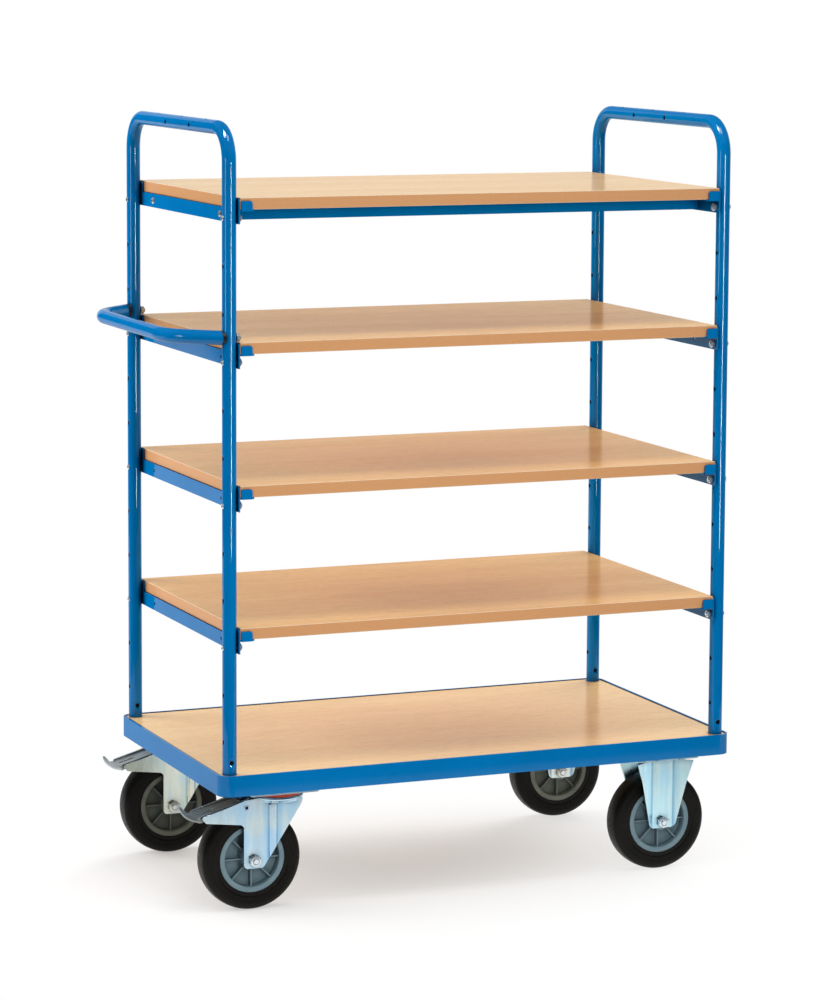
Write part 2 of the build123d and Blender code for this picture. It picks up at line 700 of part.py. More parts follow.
# Swivel forks: a round crown and two pressed legs with horns for the brake pedal
horn_tip = crown_top - horn_tip_drop
horn_low = horn_tip - horn_tip_depth
horn_root = crown_top - horn_root_drop
foot_bottom = axle_height - foot_drop
pivot_x = swivel_axle_x - pivot_back
pivot_z = crown_top - pivot_drop
front_run = castor_trail + sqrt(crown_radius**2 - fork_face**2)
leg_outline = [
    (-foot_back, foot_bottom),
    (foot_front, foot_bottom),
    (front_run + chin_run, crown_top - chin_drop),
    (front_run + nose_run, crown_top - nose_drop),
    (front_run, crown_top),
    (neck_front, crown_top),
    (-neck_back, crown_top - neck_drop),
    (-knee_back, crown_top - knee_drop),
    (-horn_reach, horn_tip),
    (-horn_reach + horn_tip_cut, horn_low),
    (-foot_back - horn_root_back, horn_root),
    (-foot_back, horn_root - horn_root_cut),
]
for row, y in rows:
    with BuildPart() as fork:
        for turn in (-1, 1):
            with BuildSketch(upright(y + turn * fork_gap / 2)) as leg:
                with BuildLine(Location((swivel_axle_x, 0))):
                    Polyline(*leg_outline, close=True)
                make_face()
                heights = leg.vertices().group_by(Axis.Y)
                upper_ends = [point for group in heights[1:] for point in group]
                fillet(upper_ends, leg_corner)
                fillet(leg.vertices().group_by(Axis.Y)[0], leg_foot_corner)
                with Locations((swivel_axle_x, axle_height)):
                    Circle(axle_diameter / 2 + thread_gap, mode=Mode.SUBTRACT)
                with Locations((pivot_x, pivot_z)):
                    Circle(pin_diameter / 2 + thread_gap, mode=Mode.SUBTRACT)
            extrude(amount=-turn * fork_steel)
            with BuildSketch(upright(y + turn * fork_face)):
                with BuildLine(Location((swivel_axle_x, 0))):
                    Polyline(*leg_outline, close=True)
                make_face()
                bead_middle = crown_top - bead_top_drop - bead_length / 2
                with Locations((swivel_axle_x + bead_offset, bead_middle)):
                    SlotOverall(bead_length, bead_width, rotation=90, mode=Mode.INTERSECT)
            extrude(amount=-turn * bead_height)
        with BuildSketch(Plane.XY.offset(crown_top)):
            with Locations((swivel_x, y)):
                Circle(crown_radius)
                Circle(kingpin_diameter / 2 + shaft_gap, mode=Mode.SUBTRACT)
        extrude(amount=-crown_steel)
        with BuildSketch(Plane.XY.offset(crown_top)):
            with Locations((swivel_x, y)):
                Circle(crown_radius)
                Circle(crown_radius - fork_steel, mode=Mode.SUBTRACT)
        extrude(amount=-crown_skirt)
    save(fork, f"swivel_fork_{row}")

# Hollow pins on which the pedals swing
for row, y in rows:
    with BuildPart() as brake_pins:
        for turn in (-1, 1):
            with BuildSketch(upright(y + turn * (fork_face + pin_proud))):
                with Locations((pivot_x, pivot_z)):
                    Circle(pin_diameter / 2)
                    Circle(pin_bore / 2, mode=Mode.SUBTRACT)
            extrude(amount=turn * (fork_face + 2 * pin_proud - pedal_width / 2 + pedal_steel))
    save(brake_pins, f"brake_pins_{row}")

# Brake pedals: a sloping channel between the horns, a wide bowed treadle and a shoe above the tyre
channel_edge = [
    (-pivot_back + pedal_front, crown_top - pedal_rise),
    (-knee_back, crown_top - knee_drop + pedal_rise),
    (-horn_reach, horn_tip + pedal_rise),
]
wall_outline = channel_edge + [
    (-horn_reach, horn_tip - pedal_wall),
    (-pivot_back - pedal_wall, pivot_z - pedal_wall),
    (-pivot_back + pedal_front, pivot_z - pedal_wall),
]
slope = (channel_edge[1][1] - channel_edge[2][1]) / (channel_edge[1][0] - channel_edge[2][0])
rise = (channel_edge[0][1] - channel_edge[1][1]) / (channel_edge[0][0] - channel_edge[1][0])
floor_front = -pivot_back - pedal_front
treadle_z = channel_edge[2][1] - channel_depth - slope * (treadle_start - horn_reach)
floor_top = [
    (floor_front, channel_edge[0][1] + rise * (floor_front - channel_edge[0][0]) - channel_depth),
    (channel_edge[1][0], channel_edge[1][1] - channel_depth),
    (-treadle_start - treadle_lap, treadle_z),
]
floor_outline = floor_top + [(x, z - pedal_steel) for x, z in reversed(floor_top)]
shoe_outline = [
    (-shoe_front, floor_top[1][1] + rise * (-shoe_front - floor_top[1][0]) - pedal_steel / 2),
    (-shoe_back, floor_top[1][1] + rise * (-shoe_back - floor_top[1][0]) - pedal_steel / 2),
    (-shoe_back, axle_height),
    (-shoe_front, axle_height),
]
press = radians(pedal_travel)
wheel_drop = axle_height - pivot_z
shoe_x = pivot_x + pivot_back * cos(press) + wheel_drop * sin(press)
shoe_z = pivot_z - pivot_back * sin(press) + wheel_drop * cos(press)
treadle_half = treadle_width / 2
for row, y in rows:
    with BuildPart() as brake_pedal:
        with BuildSketch(endwise(swivel_axle_x - treadle_end)):
            with BuildLine(Location((y, treadle_z + treadle_step))):
                ThreePointArc((-treadle_half, treadle_lift), (0, 0), (treadle_half, treadle_lift))
                Polyline(
                    (treadle_half, treadle_lift),
                    (treadle_half, treadle_lift - pedal_steel),
                )
                ThreePointArc(
                    (treadle_half, treadle_lift - pedal_steel),
                    (0, -pedal_steel),
                    (-treadle_half, treadle_lift - pedal_steel),
                )
                Polyline(
                    (-treadle_half, treadle_lift - pedal_steel),
                    (-treadle_half, treadle_lift),
                )
            make_face()
        extrude(amount=treadle_end - treadle_start)
        with BuildSketch(Plane.XY.offset(horn_tip - 2 * treadle_end)):
            with Locations((swivel_axle_x - treadle_end + treadle_bow, y)):
                Circle(treadle_bow)
        extrude(amount=4 * treadle_end, mode=Mode.INTERSECT)
        with BuildSketch(upright(y)):
            with BuildLine(Location((swivel_axle_x, 0))):
                Polyline(*floor_outline, close=True)
            make_face()
        extrude(amount=pedal_width / 2, both=True)
        for turn in (-1, 1):
            with BuildSketch(upright(y + turn * pedal_width / 2)):
                with BuildLine(Location((swivel_axle_x, 0))):
                    Polyline(*wall_outline, close=True)
                make_face()
                with Locations((pivot_x, pivot_z)):
                    Circle(pin_diameter / 2 + shaft_gap, mode=Mode.SUBTRACT)
            extrude(amount=turn * pedal_steel)
        with BuildSketch(upright(y)):
            with BuildLine(Location((swivel_axle_x, 0))):
                Polyline(*shoe_outline, close=True)
            make_face()
            with Locations((shoe_x, shoe_z)):
                Circle(axle_height + shoe_gap, mode=Mode.SUBTRACT)
        extrude(amount=shoe_width / 2, both=True)
        with BuildSketch(Plane.XY.offset(crown_top)):
            with Locations((swivel_axle_x - pedal_slot_back, y)):
                SlotOverall(pedal_slot_length, pedal_slot_width)
        extrude(amount=-2 * horn_tip_drop, mode=Mode.SUBTRACT)
    save(brake_pedal, f"brake_pedal_{row}")

# Fixed forks: plate and tapering legs with their sides bent outwards, in one welded piece
fixed_bottom = axle_height - fixed_foot_drop
fixed_weld = plate_bottom + plate_steel / 2
wing_reach = (fixed_leg_top - fixed_field) / 2 * tan(radians(fixed_wing_lean))
wing_fold = [
    (-fixed_leg_top / 2, wing_reach),
    (-fixed_field / 2, 0),
    (fixed_field / 2, 0),
    (fixed_leg_top / 2, wing_reach),
]
right_edge = [
    (fixed_leg_foot / 2, fixed_bottom),
    (fixed_leg_shoulder / 2, plate_bottom - fixed_shoulder_drop),
    (fixed_leg_top / 2, plate_bottom - fixed_wing_gap),
    (fixed_field / 2, plate_bottom - fixed_wing_gap / 2),
    (fixed_field / 2, fixed_weld),
]
left_edge = [(-x, z) for x, z in reversed(right_edge)]
for row, y in rows:
    with BuildPart() as fixed_fork:
        with BuildSketch(Plane.XY.offset(fixed_bottom)):
            for turn in (-1, 1):
                outer_fold = [(x, turn * (fork_face + out)) for x, out in wing_fold]
                inner_fold = [(x, turn * (fork_gap / 2 + out)) for x, out in reversed(wing_fold)]
                with BuildLine(Location((fixed_x, y))):
                    Polyline(*outer_fold, *inner_fold, close=True)
                make_face()
        extrude(amount=fixed_weld - fixed_bottom)
        with BuildSketch(upright(y)) as leg:
            with BuildLine(Location((fixed_x, 0))):
                Polyline(*right_edge, *left_edge, close=True)
            make_face()
            fillet(leg.vertices().group_by(Axis.Y)[0], fixed_foot_corner)
            with Locations((fixed_x, axle_height)):
                Circle(axle_diameter / 2 + thread_gap, mode=Mode.SUBTRACT)
        extrude(amount=fork_face + wing_reach, both=True, mode=Mode.INTERSECT)
        with BuildSketch(Plane.XY.offset(plate_bottom)):
            with Locations((fixed_x, y)):
                RectangleRounded(plate_length, plate_width, plate_corner)
                with GridLocations(plate_holes_x, plate_holes_y, 2, 2):
                    Circle(castor_hole / 2, mode=Mode.SUBTRACT)
        extrude(amount=plate_steel)
        with Locations((fixed_x, y, plate_bottom)):
            with GridLocations(plate_holes_x, plate_holes_y, 2, 2):
                add(castor_seat, mode=Mode.SUBTRACT)
    save(fixed_fork, f"fixed_fork_{row}")

# Axle sets: bolt headed at the back of the fork, nut on the front, sleeve clamped between the legs
axle_length = 2 * fork_face + axle_nut_height + thread_end
axle_bolt_shape = hex_bolt(axle_head_across, axle_head_height, axle_diameter, axle_length)
axle_nut_shape = hex_nut(axle_head_across, axle_nut_height, axle_diameter)
sleeve_bore = axle_diameter / 2 + thread_gap
with BuildPart() as sleeve:
    with BuildSketch():
        Circle(sleeve_bore + sleeve_wall)
        Circle(sleeve_bore, mode=Mode.SUBTRACT)
    extrude(amount=fork_gap)

# Axles of the swivel castors
for row, y in rows:
    with BuildPart() as axle_bolt:
        with Locations(facing((swivel_axle_x, y + fork_face, axle_height), (0, -1, 0))):
            add(axle_bolt_shape)
    save(axle_bolt, f"axle_bolt_{row}")
    with BuildPart() as axle_nut:
        with Locations(facing((swivel_axle_x, y - fork_face, axle_height), (0, -1, 0))):
            add(axle_nut_shape)
    save(axle_nut, f"axle_nut_{row}")
    with BuildPart() as axle_sleeve:
        with Locations(facing((swivel_axle_x, y + fork_gap / 2, axle_height), (0, -1, 0))):
            add(sleeve.part)
    save(axle_sleeve, f"axle_sleeve_{row}")

# Axles of the fixed castors
with BuildPart() as fixed_axle_bolts:
    for row, y in rows:
        with Locations(facing((fixed_x, y + fork_face, axle_height), (0, -1, 0))):
            add(axle_bolt_shape)
save(fixed_axle_bolts, "fixed_axle_bolts")
with BuildPart() as fixed_axle_nuts:
    for row, y in rows:
        with Locations(facing((fixed_x, y - fork_face, axle_height), (0, -1, 0))):
            add(axle_nut_shape)
save(fixed_axle_nuts, "fixed_axle_nuts")
with BuildPart() as fixed_axle_sleeves:
    for row, y in rows:
        with Locations(facing((fixed_x, y + fork_gap / 2, axle_height), (0, -1, 0))):
            add(sleeve.part)
save(fixed_axle_sleeves, "fixed_axle_sleeves")

# Wheels: a ribbed plastic rim running on the sleeve, and a rubber tyre on it
hub_bore = sleeve_bore + sleeve_wall + shaft_gap
hub_half = fork_gap / 2 - hub_gap
rim_radius = rim_diameter / 2
lip_inner = rim_radius - rim_lip
half_tyre = tyre_width / 2
tread_half = tread_width / 2
tread_edge = axle_height - tread_crown
step_half = half_tyre - side_step
rim_profile = [
    (-hub_half, hub_bore),
    (hub_half, hub_bore),
    (hub_half, hub_diameter / 2 - hub_taper),
    (rim_web / 2, hub_diameter / 2),
    (rim_web / 2, lip_inner - rim_taper),
    (rim_width / 2, lip_inner),
    (rim_width / 2, rim_radius),
    (-rim_width / 2, rim_radius),
    (-rim_width / 2, lip_inner),
    (-rim_web / 2, lip_inner - rim_taper),
    (-rim_web / 2, hub_diameter / 2),
    (-hub_half, hub_diameter / 2 - hub_taper),
]
tyre_profile = [
    (-tread_half, tread_edge),
    (-half_tyre, axle_height - tyre_shoulder),
    (-half_tyre, rim_radius + side_step_high),
    (-step_half, rim_radius + side_step_low),
    (-step_half, rim_radius),
    (step_half, rim_radius),
    (step_half, rim_radius + side_step_low),
    (half_tyre, rim_radius + side_step_high),
    (half_tyre, axle_height - tyre_shoulder),
    (tread_half, tread_edge),
]
rib_middle = (hub_diameter / 2 - hub_taper + lip_inner + rim_taper) / 2
rib_length = lip_inner + rim_taper - hub_diameter / 2 + hub_taper
for end_name, x in (("left", swivel_axle_x), ("right", fixed_x)):
    for row, y in rows:
        spin = Axis((x, y, axle_height), (0, 1, 0))
        across = Plane(origin=(x, y, axle_height), x_dir=(0, 1, 0), z_dir=(1, 0, 0))
        with BuildPart() as rim:
            with BuildSketch(across):
                with BuildLine():
                    Polyline(*rim_profile, close=True)
                make_face()
            revolve(axis=spin)
            with BuildSketch(upright(y)):
                with Locations((x, axle_height)):
                    with PolarLocations(rib_middle, rib_count):
                        Rectangle(rib_length, rib_width)
            extrude(amount=rib_depth, both=True)
        save(rim, f"rim_{row}_{end_name}")
        with BuildPart() as tyre:
            with BuildSketch(across):
                with BuildLine():
                    Polyline(*tyre_profile)
                    ThreePointArc((tread_half, tread_edge), (0, axle_height), (-tread_half, tread_edge))
                make_face()
            revolve(axis=spin)
        save(tyre, f"tyre_{row}_{end_name}")
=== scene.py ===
import math

import bmesh
import bpy
import numpy as np
from mathutils import Matrix, Vector


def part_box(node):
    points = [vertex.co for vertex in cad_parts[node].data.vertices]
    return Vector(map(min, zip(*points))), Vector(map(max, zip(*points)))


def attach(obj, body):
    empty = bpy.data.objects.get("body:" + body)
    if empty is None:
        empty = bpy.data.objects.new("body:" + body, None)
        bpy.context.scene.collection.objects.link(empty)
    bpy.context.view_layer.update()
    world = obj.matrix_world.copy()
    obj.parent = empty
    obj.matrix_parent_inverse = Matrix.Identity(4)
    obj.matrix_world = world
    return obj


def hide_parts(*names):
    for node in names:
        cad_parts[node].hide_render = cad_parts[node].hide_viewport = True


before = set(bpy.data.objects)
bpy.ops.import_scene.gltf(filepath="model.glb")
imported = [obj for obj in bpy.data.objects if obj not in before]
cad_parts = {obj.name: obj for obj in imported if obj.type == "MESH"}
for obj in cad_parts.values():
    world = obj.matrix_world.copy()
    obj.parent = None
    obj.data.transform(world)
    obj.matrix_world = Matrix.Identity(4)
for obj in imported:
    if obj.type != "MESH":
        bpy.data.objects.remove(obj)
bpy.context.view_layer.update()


# Base frame: a ring of flat steel bent round the corners and welded, with a ledge for the deck
# inside it. Blue stoving enamel, sprayed and baked: glossy, faintly clouded, with an orange peel
# skin and a paler line where the coat draws thin over a sheared edge.
def finish(name, **sockets):
    """A new finish whose shader has the given sockets set to plain values."""
    made = bpy.data.materials.new(name)
    made.use_nodes = True
    shader = made.node_tree.nodes["Principled BSDF"]
    for socket, value in sockets.items():
        shader.inputs[socket.replace("_", " ")].default_value = value
    return made


def shade(material, kind, settings=(), **links):
    """One more shading step: settings are its own choices, links its sockets, as values or outputs."""
    made = material.node_tree.nodes.new("ShaderNode" + kind)
    for key, value in dict(settings).items():
        setattr(made, key, value)
    for socket, value in links.items():
        place = int(socket[1:]) if socket[1:].isdigit() else socket.replace("_", " ")
        if isinstance(value, bpy.types.NodeSocket):
            material.node_tree.links.new(value, made.inputs[place])
        else:
            made.inputs[place].default_value = value
    return made


def feed(material, output, *sockets):
    """Joins an output to sockets of the finish's shader."""
    for socket in sockets:
        material.node_tree.links.new(output, material.node_tree.nodes["Principled BSDF"].inputs[socket])


def cloud(material, scale, stretch=(1.0, 1.0, 1.0), detail=3.0):
    """Soft noise over the object's own coordinates, each axis multiplied by its stretch."""
    place = shade(material, "TexCoord").outputs["Object"]
    spread = shade(material, "Mapping", Vector=place, Scale=stretch).outputs["Vector"]
    return shade(material, "TexNoise", Vector=spread, Scale=scale, Detail=detail).outputs["Fac"]


def tones(material, factor, *stops):
    """Colour between stops of (position, colour) as the factor grows."""
    made = shade(material, "ValToRGB", Fac=factor)
    elements = made.color_ramp.elements
    while len(elements) < len(stops):
        elements.new(0.5)
    for element, (position, colour) in zip(elements, stops):
        element.position = position
        element.color = (*colour, 1.0)
    return made.outputs["Color"]


def scaled(material, factor, low, high, start=0.3, end=0.7):
    """A number that goes from low to high as the factor goes from start to end."""
    made = shade(material, "MapRange", Value=factor, From_Min=start, From_Max=end, To_Min=low, To_Max=high)
    return made.outputs["Result"]


def laid_over(material, factor, under, over, blend="MIX"):
    """Colour over laid on colour under, as far as the factor says."""
    choice = {"data_type": "RGBA", "blend_type": blend}
    return shade(material, "Mix", choice, Factor=factor, _6=under, _7=over).outputs[2]


def edges_of(material, radius):
    """1 along sharp edges and 0 on open faces: how far a rounded normal leans from the true one."""
    rounded = shade(material, "Bevel", {"samples": 4}, Radius=radius).outputs["Normal"]
    true = shade(material, "NewGeometry").outputs["Normal"]
    lean = shade(material, "VectorMath", {"operation": "DOT_PRODUCT"}, _0=rounded, _1=true).outputs["Value"]
    return scaled(material, lean, 1.0, 0.0, 0.75, 0.97)


def coat(names, material):
    """Puts one finish on each of the named CAD nodes."""
    for name in names:
        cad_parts[name].material_slots[0].material = material


def blue_enamel(name, edge, clear, gloss, peel, shade_reach):
    """Two close blues clouded together under a clear coat of weight clear and roughness gloss.

    The skin has orange peel of depth peel, paler edges where edge is above 0, and painted shade, darker
    where other parts come within the reach given last.
    """
    made = finish(name, Specular_IOR_Level=0.0, Coat_Weight=clear, Coat_Roughness=gloss)
    drift = cloud(made, 6.0, detail=4.0)
    blue = tones(made, drift, (0.3, (0.0, 0.168, 0.460)), (0.7, (0.0, 0.193, 0.520)))
    if edge:
        thin = shade(made, "Math", {"operation": "MULTIPLY"}, _0=edges_of(made, 0.0016), _1=edge).outputs[0]
        blue = laid_over(made, thin, blue, (0.03, 0.28, 0.66, 1.0))
    # Painted shade: the enamel is darkened where other parts stand close, as ambient occlusion finds them.
    nook = shade(made, "AmbientOcclusion", {"samples": 6}, Distance=shade_reach).outputs["AO"]
    shadow = tones(made, nook, (0.25, (0.10, 0.12, 0.16)), (0.90, (1.0, 1.0, 1.0)))
    blue = laid_over(made, 1.0, blue, shadow, "MULTIPLY")
    feed(made, blue, "Base Color")
    feed(made, scaled(made, drift, 0.30, 0.42), "Roughness")
    ripple = cloud(made, 380.0, detail=2.0)
    skin = shade(made, "Bump", Strength=peel, Distance=0.0004, Height=ripple).outputs["Normal"]
    feed(made, skin, "Normal", "Coat Normal")
    return made


sheet_enamel = blue_enamel("blue_enamel_sheet", 0.3, 0.45, 0.045, 0.05, 0.07)
coat(["base_frame"], sheet_enamel)


# Deck board: a pressed wood panel faced with beech laminate, dropped into the base frame. The
# grain runs along the trolley; the satin face mirrors the posts softly, the edge is darker.
def beech(name, lacquer, pale, warm, edge, seam=None):
    """Beech facing under a satin lacquer: broad drifting bands and fine flecks along X.

    The edges have a plain strip, with a painted highlight on the arris and painted shade where other parts
    stand close. Seam, the low and high corner of a let-in panel, keeps a dark seam line along its border.
    """
    made = finish(name, Specular_IOR_Level=0.0, Coat_Weight=lacquer, Coat_Roughness=0.19)
    band = cloud(made, 1.5, (1.0, 9.0, 9.0), 4.0)
    flecks = cloud(made, 1.0, (26.0, 520.0, 520.0), 3.0)
    pores = cloud(made, 1.0, (60.0, 1100.0, 1100.0), 1.0)
    face = tones(made, band, (0.30, warm), (0.70, pale))
    dashes = tones(made, flecks, (0.34, (0.70, 0.62, 0.54)), (0.52, (1.0, 1.0, 1.0)))
    face = laid_over(made, 0.42, face, dashes, "MULTIPLY")
    specks = tones(made, pores, (0.30, (0.62, 0.52, 0.44)), (0.40, (1.0, 1.0, 1.0)))
    face = laid_over(made, 0.5, face, specks, "MULTIPLY")
    chips = cloud(made, 1.0, (240.0, 240.0, 500.0), 3.0)
    strip = tones(made, chips, (0.32, tuple(0.91 * part for part in edge)), (0.64, edge))
    normal = shade(made, "TexCoord").outputs["Normal"]
    rise = shade(made, "SeparateXYZ", Vector=normal).outputs["Z"]
    level = shade(made, "Math", {"operation": "ABSOLUTE"}, _0=rise).outputs[0]
    tone = laid_over(made, scaled(made, level, 0.0, 1.0, 0.80, 0.95), strip, face)
    # Painted highlight: a pale line on the chamfer between the face and the edge strip.
    painted_arris_highlight = shade(made, "Math", {"operation": "MULTIPLY"}, _0=scaled(made, level, 0.0, 1.0, 0.3, 0.6),
                  _1=scaled(made, level, 1.0, 0.0, 0.8, 0.95)).outputs[0]
    tone = laid_over(made, painted_arris_highlight, tone, (0.90, 0.72, 0.52, 1.0))
    # Painted shade: the wood is darker where the rim, tabs and posts stand close over it.
    contact_shade = shade(made, "AmbientOcclusion", {"samples": 6}, Distance=0.012).outputs["AO"]
    dark = tones(made, contact_shade, (0.35, (0.28, 0.18, 0.12)), (0.85, (1.0, 1.0, 1.0)))
    tone = laid_over(made, 1.0, tone, dark, "MULTIPLY")
    if seam:
        spot = shade(made, "SeparateXYZ", Vector=shade(made, "TexCoord").outputs["Object"])
        inset = 1.0
        for axis, low, high in zip("XY", *seam):
            for start, end in ((spot.outputs[axis], low), (high, spot.outputs[axis])):
                room = shade(made, "Math", {"operation": "SUBTRACT"}, _0=start, _1=end).outputs[0]
                inset = shade(made, "Math", {"operation": "MINIMUM"}, _0=room, _1=inset).outputs[0]
        border = scaled(made, inset, 0.85, 0.0, 0.0018, 0.0036)
        tone = laid_over(made, border, tone, (0.012, 0.014, 0.022, 1.0))
    feed(made, tone, "Base Color")
    feed(made, scaled(made, flecks, 0.40, 0.30), "Roughness")
    feed(made, shade(made, "Bump", Strength=0.1, Distance=0.0002, Height=flecks).outputs["Normal"], "Normal")
    return made


edge_strip = (0.735, 0.375, 0.17)
deck_beech = beech("beech_deck", 0.65, (0.90, 0.625, 0.30), (0.85, 0.555, 0.245), edge_strip,
                   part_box("deck_board"))
coat(["deck_board"], deck_beech)


# Spigots and set screws: turned steel stubs welded to the corner plates, over which the posts
# stand, and blackened socket screws sunk in the holes near the foot of each post.
def zinc_plate(name, cool, warm, rough=(0.18, 0.30), folds=None, rub_and_glint=0.0009, nook=0.016, metal=1.0):
    """Bright zinc: bluish towards the front of the trolley and yellowish towards the back.

    It has upright drain streaks, painted shade in corners where parts meet, with a reach of nook, and bright
    edges, partly rubbed wear and partly painted highlight, as wide as the edge width given. Folds, a middle
    and a distance along X, get a painted dark blue crease shade along each fold.
    """
    made = finish(name, Metallic=metal)
    place = shade(made, "TexCoord").outputs["Object"]
    depth = shade(made, "SeparateXYZ", Vector=place).outputs["Y"]
    drift = scaled(made, cloud(made, 16.0, detail=3.0), -0.3, 0.3)
    front_to_back = shade(made, "Math", {"operation": "ADD"}, _0=scaled(made, depth, 0.1, 0.9, -0.24, 0.24), _1=drift)
    tone = tones(made, front_to_back.outputs[0], (0.0, cool), (1.0, warm))
    drain = cloud(made, 1.0, (42.0, 42.0, 9.0), 1.5)
    dull, bright = (0.60, 0.75, 0.88), (1.0, 1.0, 1.0)
    tone = laid_over(made, 0.8, tone, tones(made, drain, (0.34, dull), (0.52, bright)), "MULTIPLY")
    # Painted shade: a dark blue line along each fold, with a bluer band just past it.
    if folds:
        along = shade(made, "SeparateXYZ", Vector=place).outputs["X"]
        off = shade(made, "Math", {"operation": "SUBTRACT"}, _0=along, _1=folds[0]).outputs[0]
        out = shade(made, "Math", {"operation": "ABSOLUTE"}, _0=off).outputs[0]
        past = shade(made, "Math", {"operation": "SUBTRACT"}, _0=out, _1=folds[1]).outputs[0]
        line = tones(made, scaled(made, past, 0.0, 1.0, -0.004, 0.016), (0.08, bright),
                     (0.20, (0.30, 0.52, 0.74)), (0.45, (0.74, 0.88, 0.97)), (0.95, bright))
        tone = laid_over(made, 0.85, tone, line, "MULTIPLY")
    # Painted shade: darker where other parts meet or stand close.
    corner = shade(made, "AmbientOcclusion", {"samples": 6}, Distance=nook).outputs["AO"]
    shadow = tones(made, corner, (0.30, (0.24, 0.28, 0.32)), (0.96, bright))
    tone = laid_over(made, 1.0, tone, shadow, "MULTIPLY")
    # Bright edges: partly rubbed wear, partly painted highlight.
    feed(made, laid_over(made, edges_of(made, rub_and_glint), tone, (0.95, 0.97, 0.98, 1.0)), "Base Color")
    feed(made, scaled(made, drain, *rough), "Roughness")
    skin = shade(made, "Bevel", {"samples": 4}, Radius=0.0009).outputs["Normal"]
    skin = shade(made, "Bump", Strength=0.08, Distance=0.0006, Height=drain, Normal=skin).outputs["Normal"]
    feed(made, skin, "Normal")
    return made


zinc = zinc_plate("zinc_plate", (0.58, 0.80, 0.95), (0.91, 0.93, 0.77))
blackened = finish("blackened_steel", Metallic=0.6)
black_tone = tones(blackened, cloud(blackened, 300.0), (0.3, (0.010, 0.011, 0.014)),
                   (0.7, (0.03, 0.03, 0.035)))
feed(blackened, black_tone, "Base Color")
feed(blackened, scaled(blackened, cloud(blackened, 900.0), 0.35, 0.5), "Roughness")
coat(["post_spigots", "post_screws"], blackened)

# End frames: one bent round tube each, pressed and drilled along the posts, then enamelled. They
# slip over the spigots and carry the shelf rails.
tube_enamel = blue_enamel("blue_enamel_tube", 0.0, 0.55, 0.015, 0.012, 0.04)
coat(["left_end_frame", "right_end_frame"], tube_enamel)

# Shelf boards: the same beech-faced panel as the deck, with a glued edge strip all round. They lie
# on the rails, between the tabs that are turned up at their edges.
board_names = [f"shelf_board_{level}" for level in ("bottom", "lower", "upper", "top")]
coat(board_names[:3], beech("beech_board", 0.42, (0.85, 0.525, 0.205), (0.78, 0.445, 0.145), edge_strip))
coat(board_names[3:], beech("beech_top", 0.55, (0.85, 0.565, 0.26), (0.79, 0.495, 0.205), edge_strip))

# Shelf rails: folded sheet steel under the ends of the boards, enamelled like the base frame, with
# ears against the posts and tabs turned up at the edges of the board.
coat([f"rail_{side}_{level}" for side in ("left", "right") for level in ("bottom", "lower", "upper", "top")],
     sheet_enamel)


# Rail bolts and nuts: zinc-plated button heads with a hexagon socket, sunk in the dimples of the
# posts, and plain hexagon nuts inside that clamp the ears of the rails.
def around(count):
    """Equal angles once round, without the closing one."""
    return np.linspace(0.0, 2.0 * np.pi, count, endpoint=False)


def hexagon(across, angle):
    """Radius of a hexagon at each angle: half its width over the cosine of the angle to the nearest flat."""
    return across / 2 / np.cos((angle + np.pi / 6) % (np.pi / 3) - np.pi / 6)


def spun(rows, angle):
    """Grid about +Z: each row is a radius and a height, each one number or one for every angle."""
    radius = np.stack([np.broadcast_to(row[0], angle.shape) for row in rows])
    height = np.stack([np.broadcast_to(row[1], angle.shape) for row in rows])
    return np.stack([radius * np.cos(angle), radius * np.sin(angle), height], axis=-1)


def facing(grid, seat, direction):
    """The grid moved so that its origin is at the seat and its +Z points along the direction."""
    ahead = np.asarray(direction, float) / np.linalg.norm(direction)
    first = np.cross((0.0, 0.0, 1.0) if abs(ahead[2]) < 0.9 else (1.0, 0.0, 0.0), ahead)
    first /= np.linalg.norm(first)
    return grid @ np.stack([first, np.cross(ahead, first), ahead]) + np.asarray(seat, float)


def skin(name, grids, wrap_rows, material, crease=35.0):
    """Mesh of equal grids of points: columns close on themselves, rows do if wrapped, else end in poles.

    Neighbours in row and column are joined by quads, the quads are turned to enclose a positive volume.
    """
    grids = np.asarray(grids, float)
    grids = grids.reshape(-1, *grids.shape[-3:])
    count, rows, columns = grids.shape[:3]
    index = np.arange(count * rows * columns).reshape(count, rows, columns)
    index = np.concatenate([index, index[:, :, :1]], axis=2)
    if wrap_rows:
        index = np.concatenate([index, index[:, :1]], axis=1)
    corners = [index[:, :-1, :-1], index[:, 1:, :-1], index[:, 1:, 1:], index[:, :-1, 1:]]
    quads = np.stack(corners, axis=-1).reshape(-1, 4)
    points = grids.reshape(-1, 3)
    a, b, c, d = (points[quads[:, k]] - points.mean(axis=0) for k in range(4))
    volume = (np.cross(a, b) * c).sum() + (np.cross(a, c) * d).sum()
    quads = quads if volume > 0 else quads[:, ::-1]
    mesh = bpy.data.meshes.new(name)
    mesh.from_pydata(points.tolist(), [], quads.tolist())
    if not wrap_rows:
        work = bmesh.new()
        work.from_mesh(mesh)
        bmesh.ops.remove_doubles(work, verts=work.verts, dist=1e-7)
        work.to_mesh(mesh)
        work.free()
    mesh.polygons.foreach_set("use_smooth", np.ones(len(mesh.polygons), bool))
    mesh.set_sharp_from_angle(angle=math.radians(crease))
    mesh.materials.append(material)
    piece = bpy.data.objects.new(name, mesh)
    bpy.context.scene.collection.objects.link(piece)
    return piece


bolt_zinc = zinc_plate("bolt_zinc", (0.82, 0.92, 1.0), (0.95, 0.96, 0.92), nook=0.006, metal=0.7)


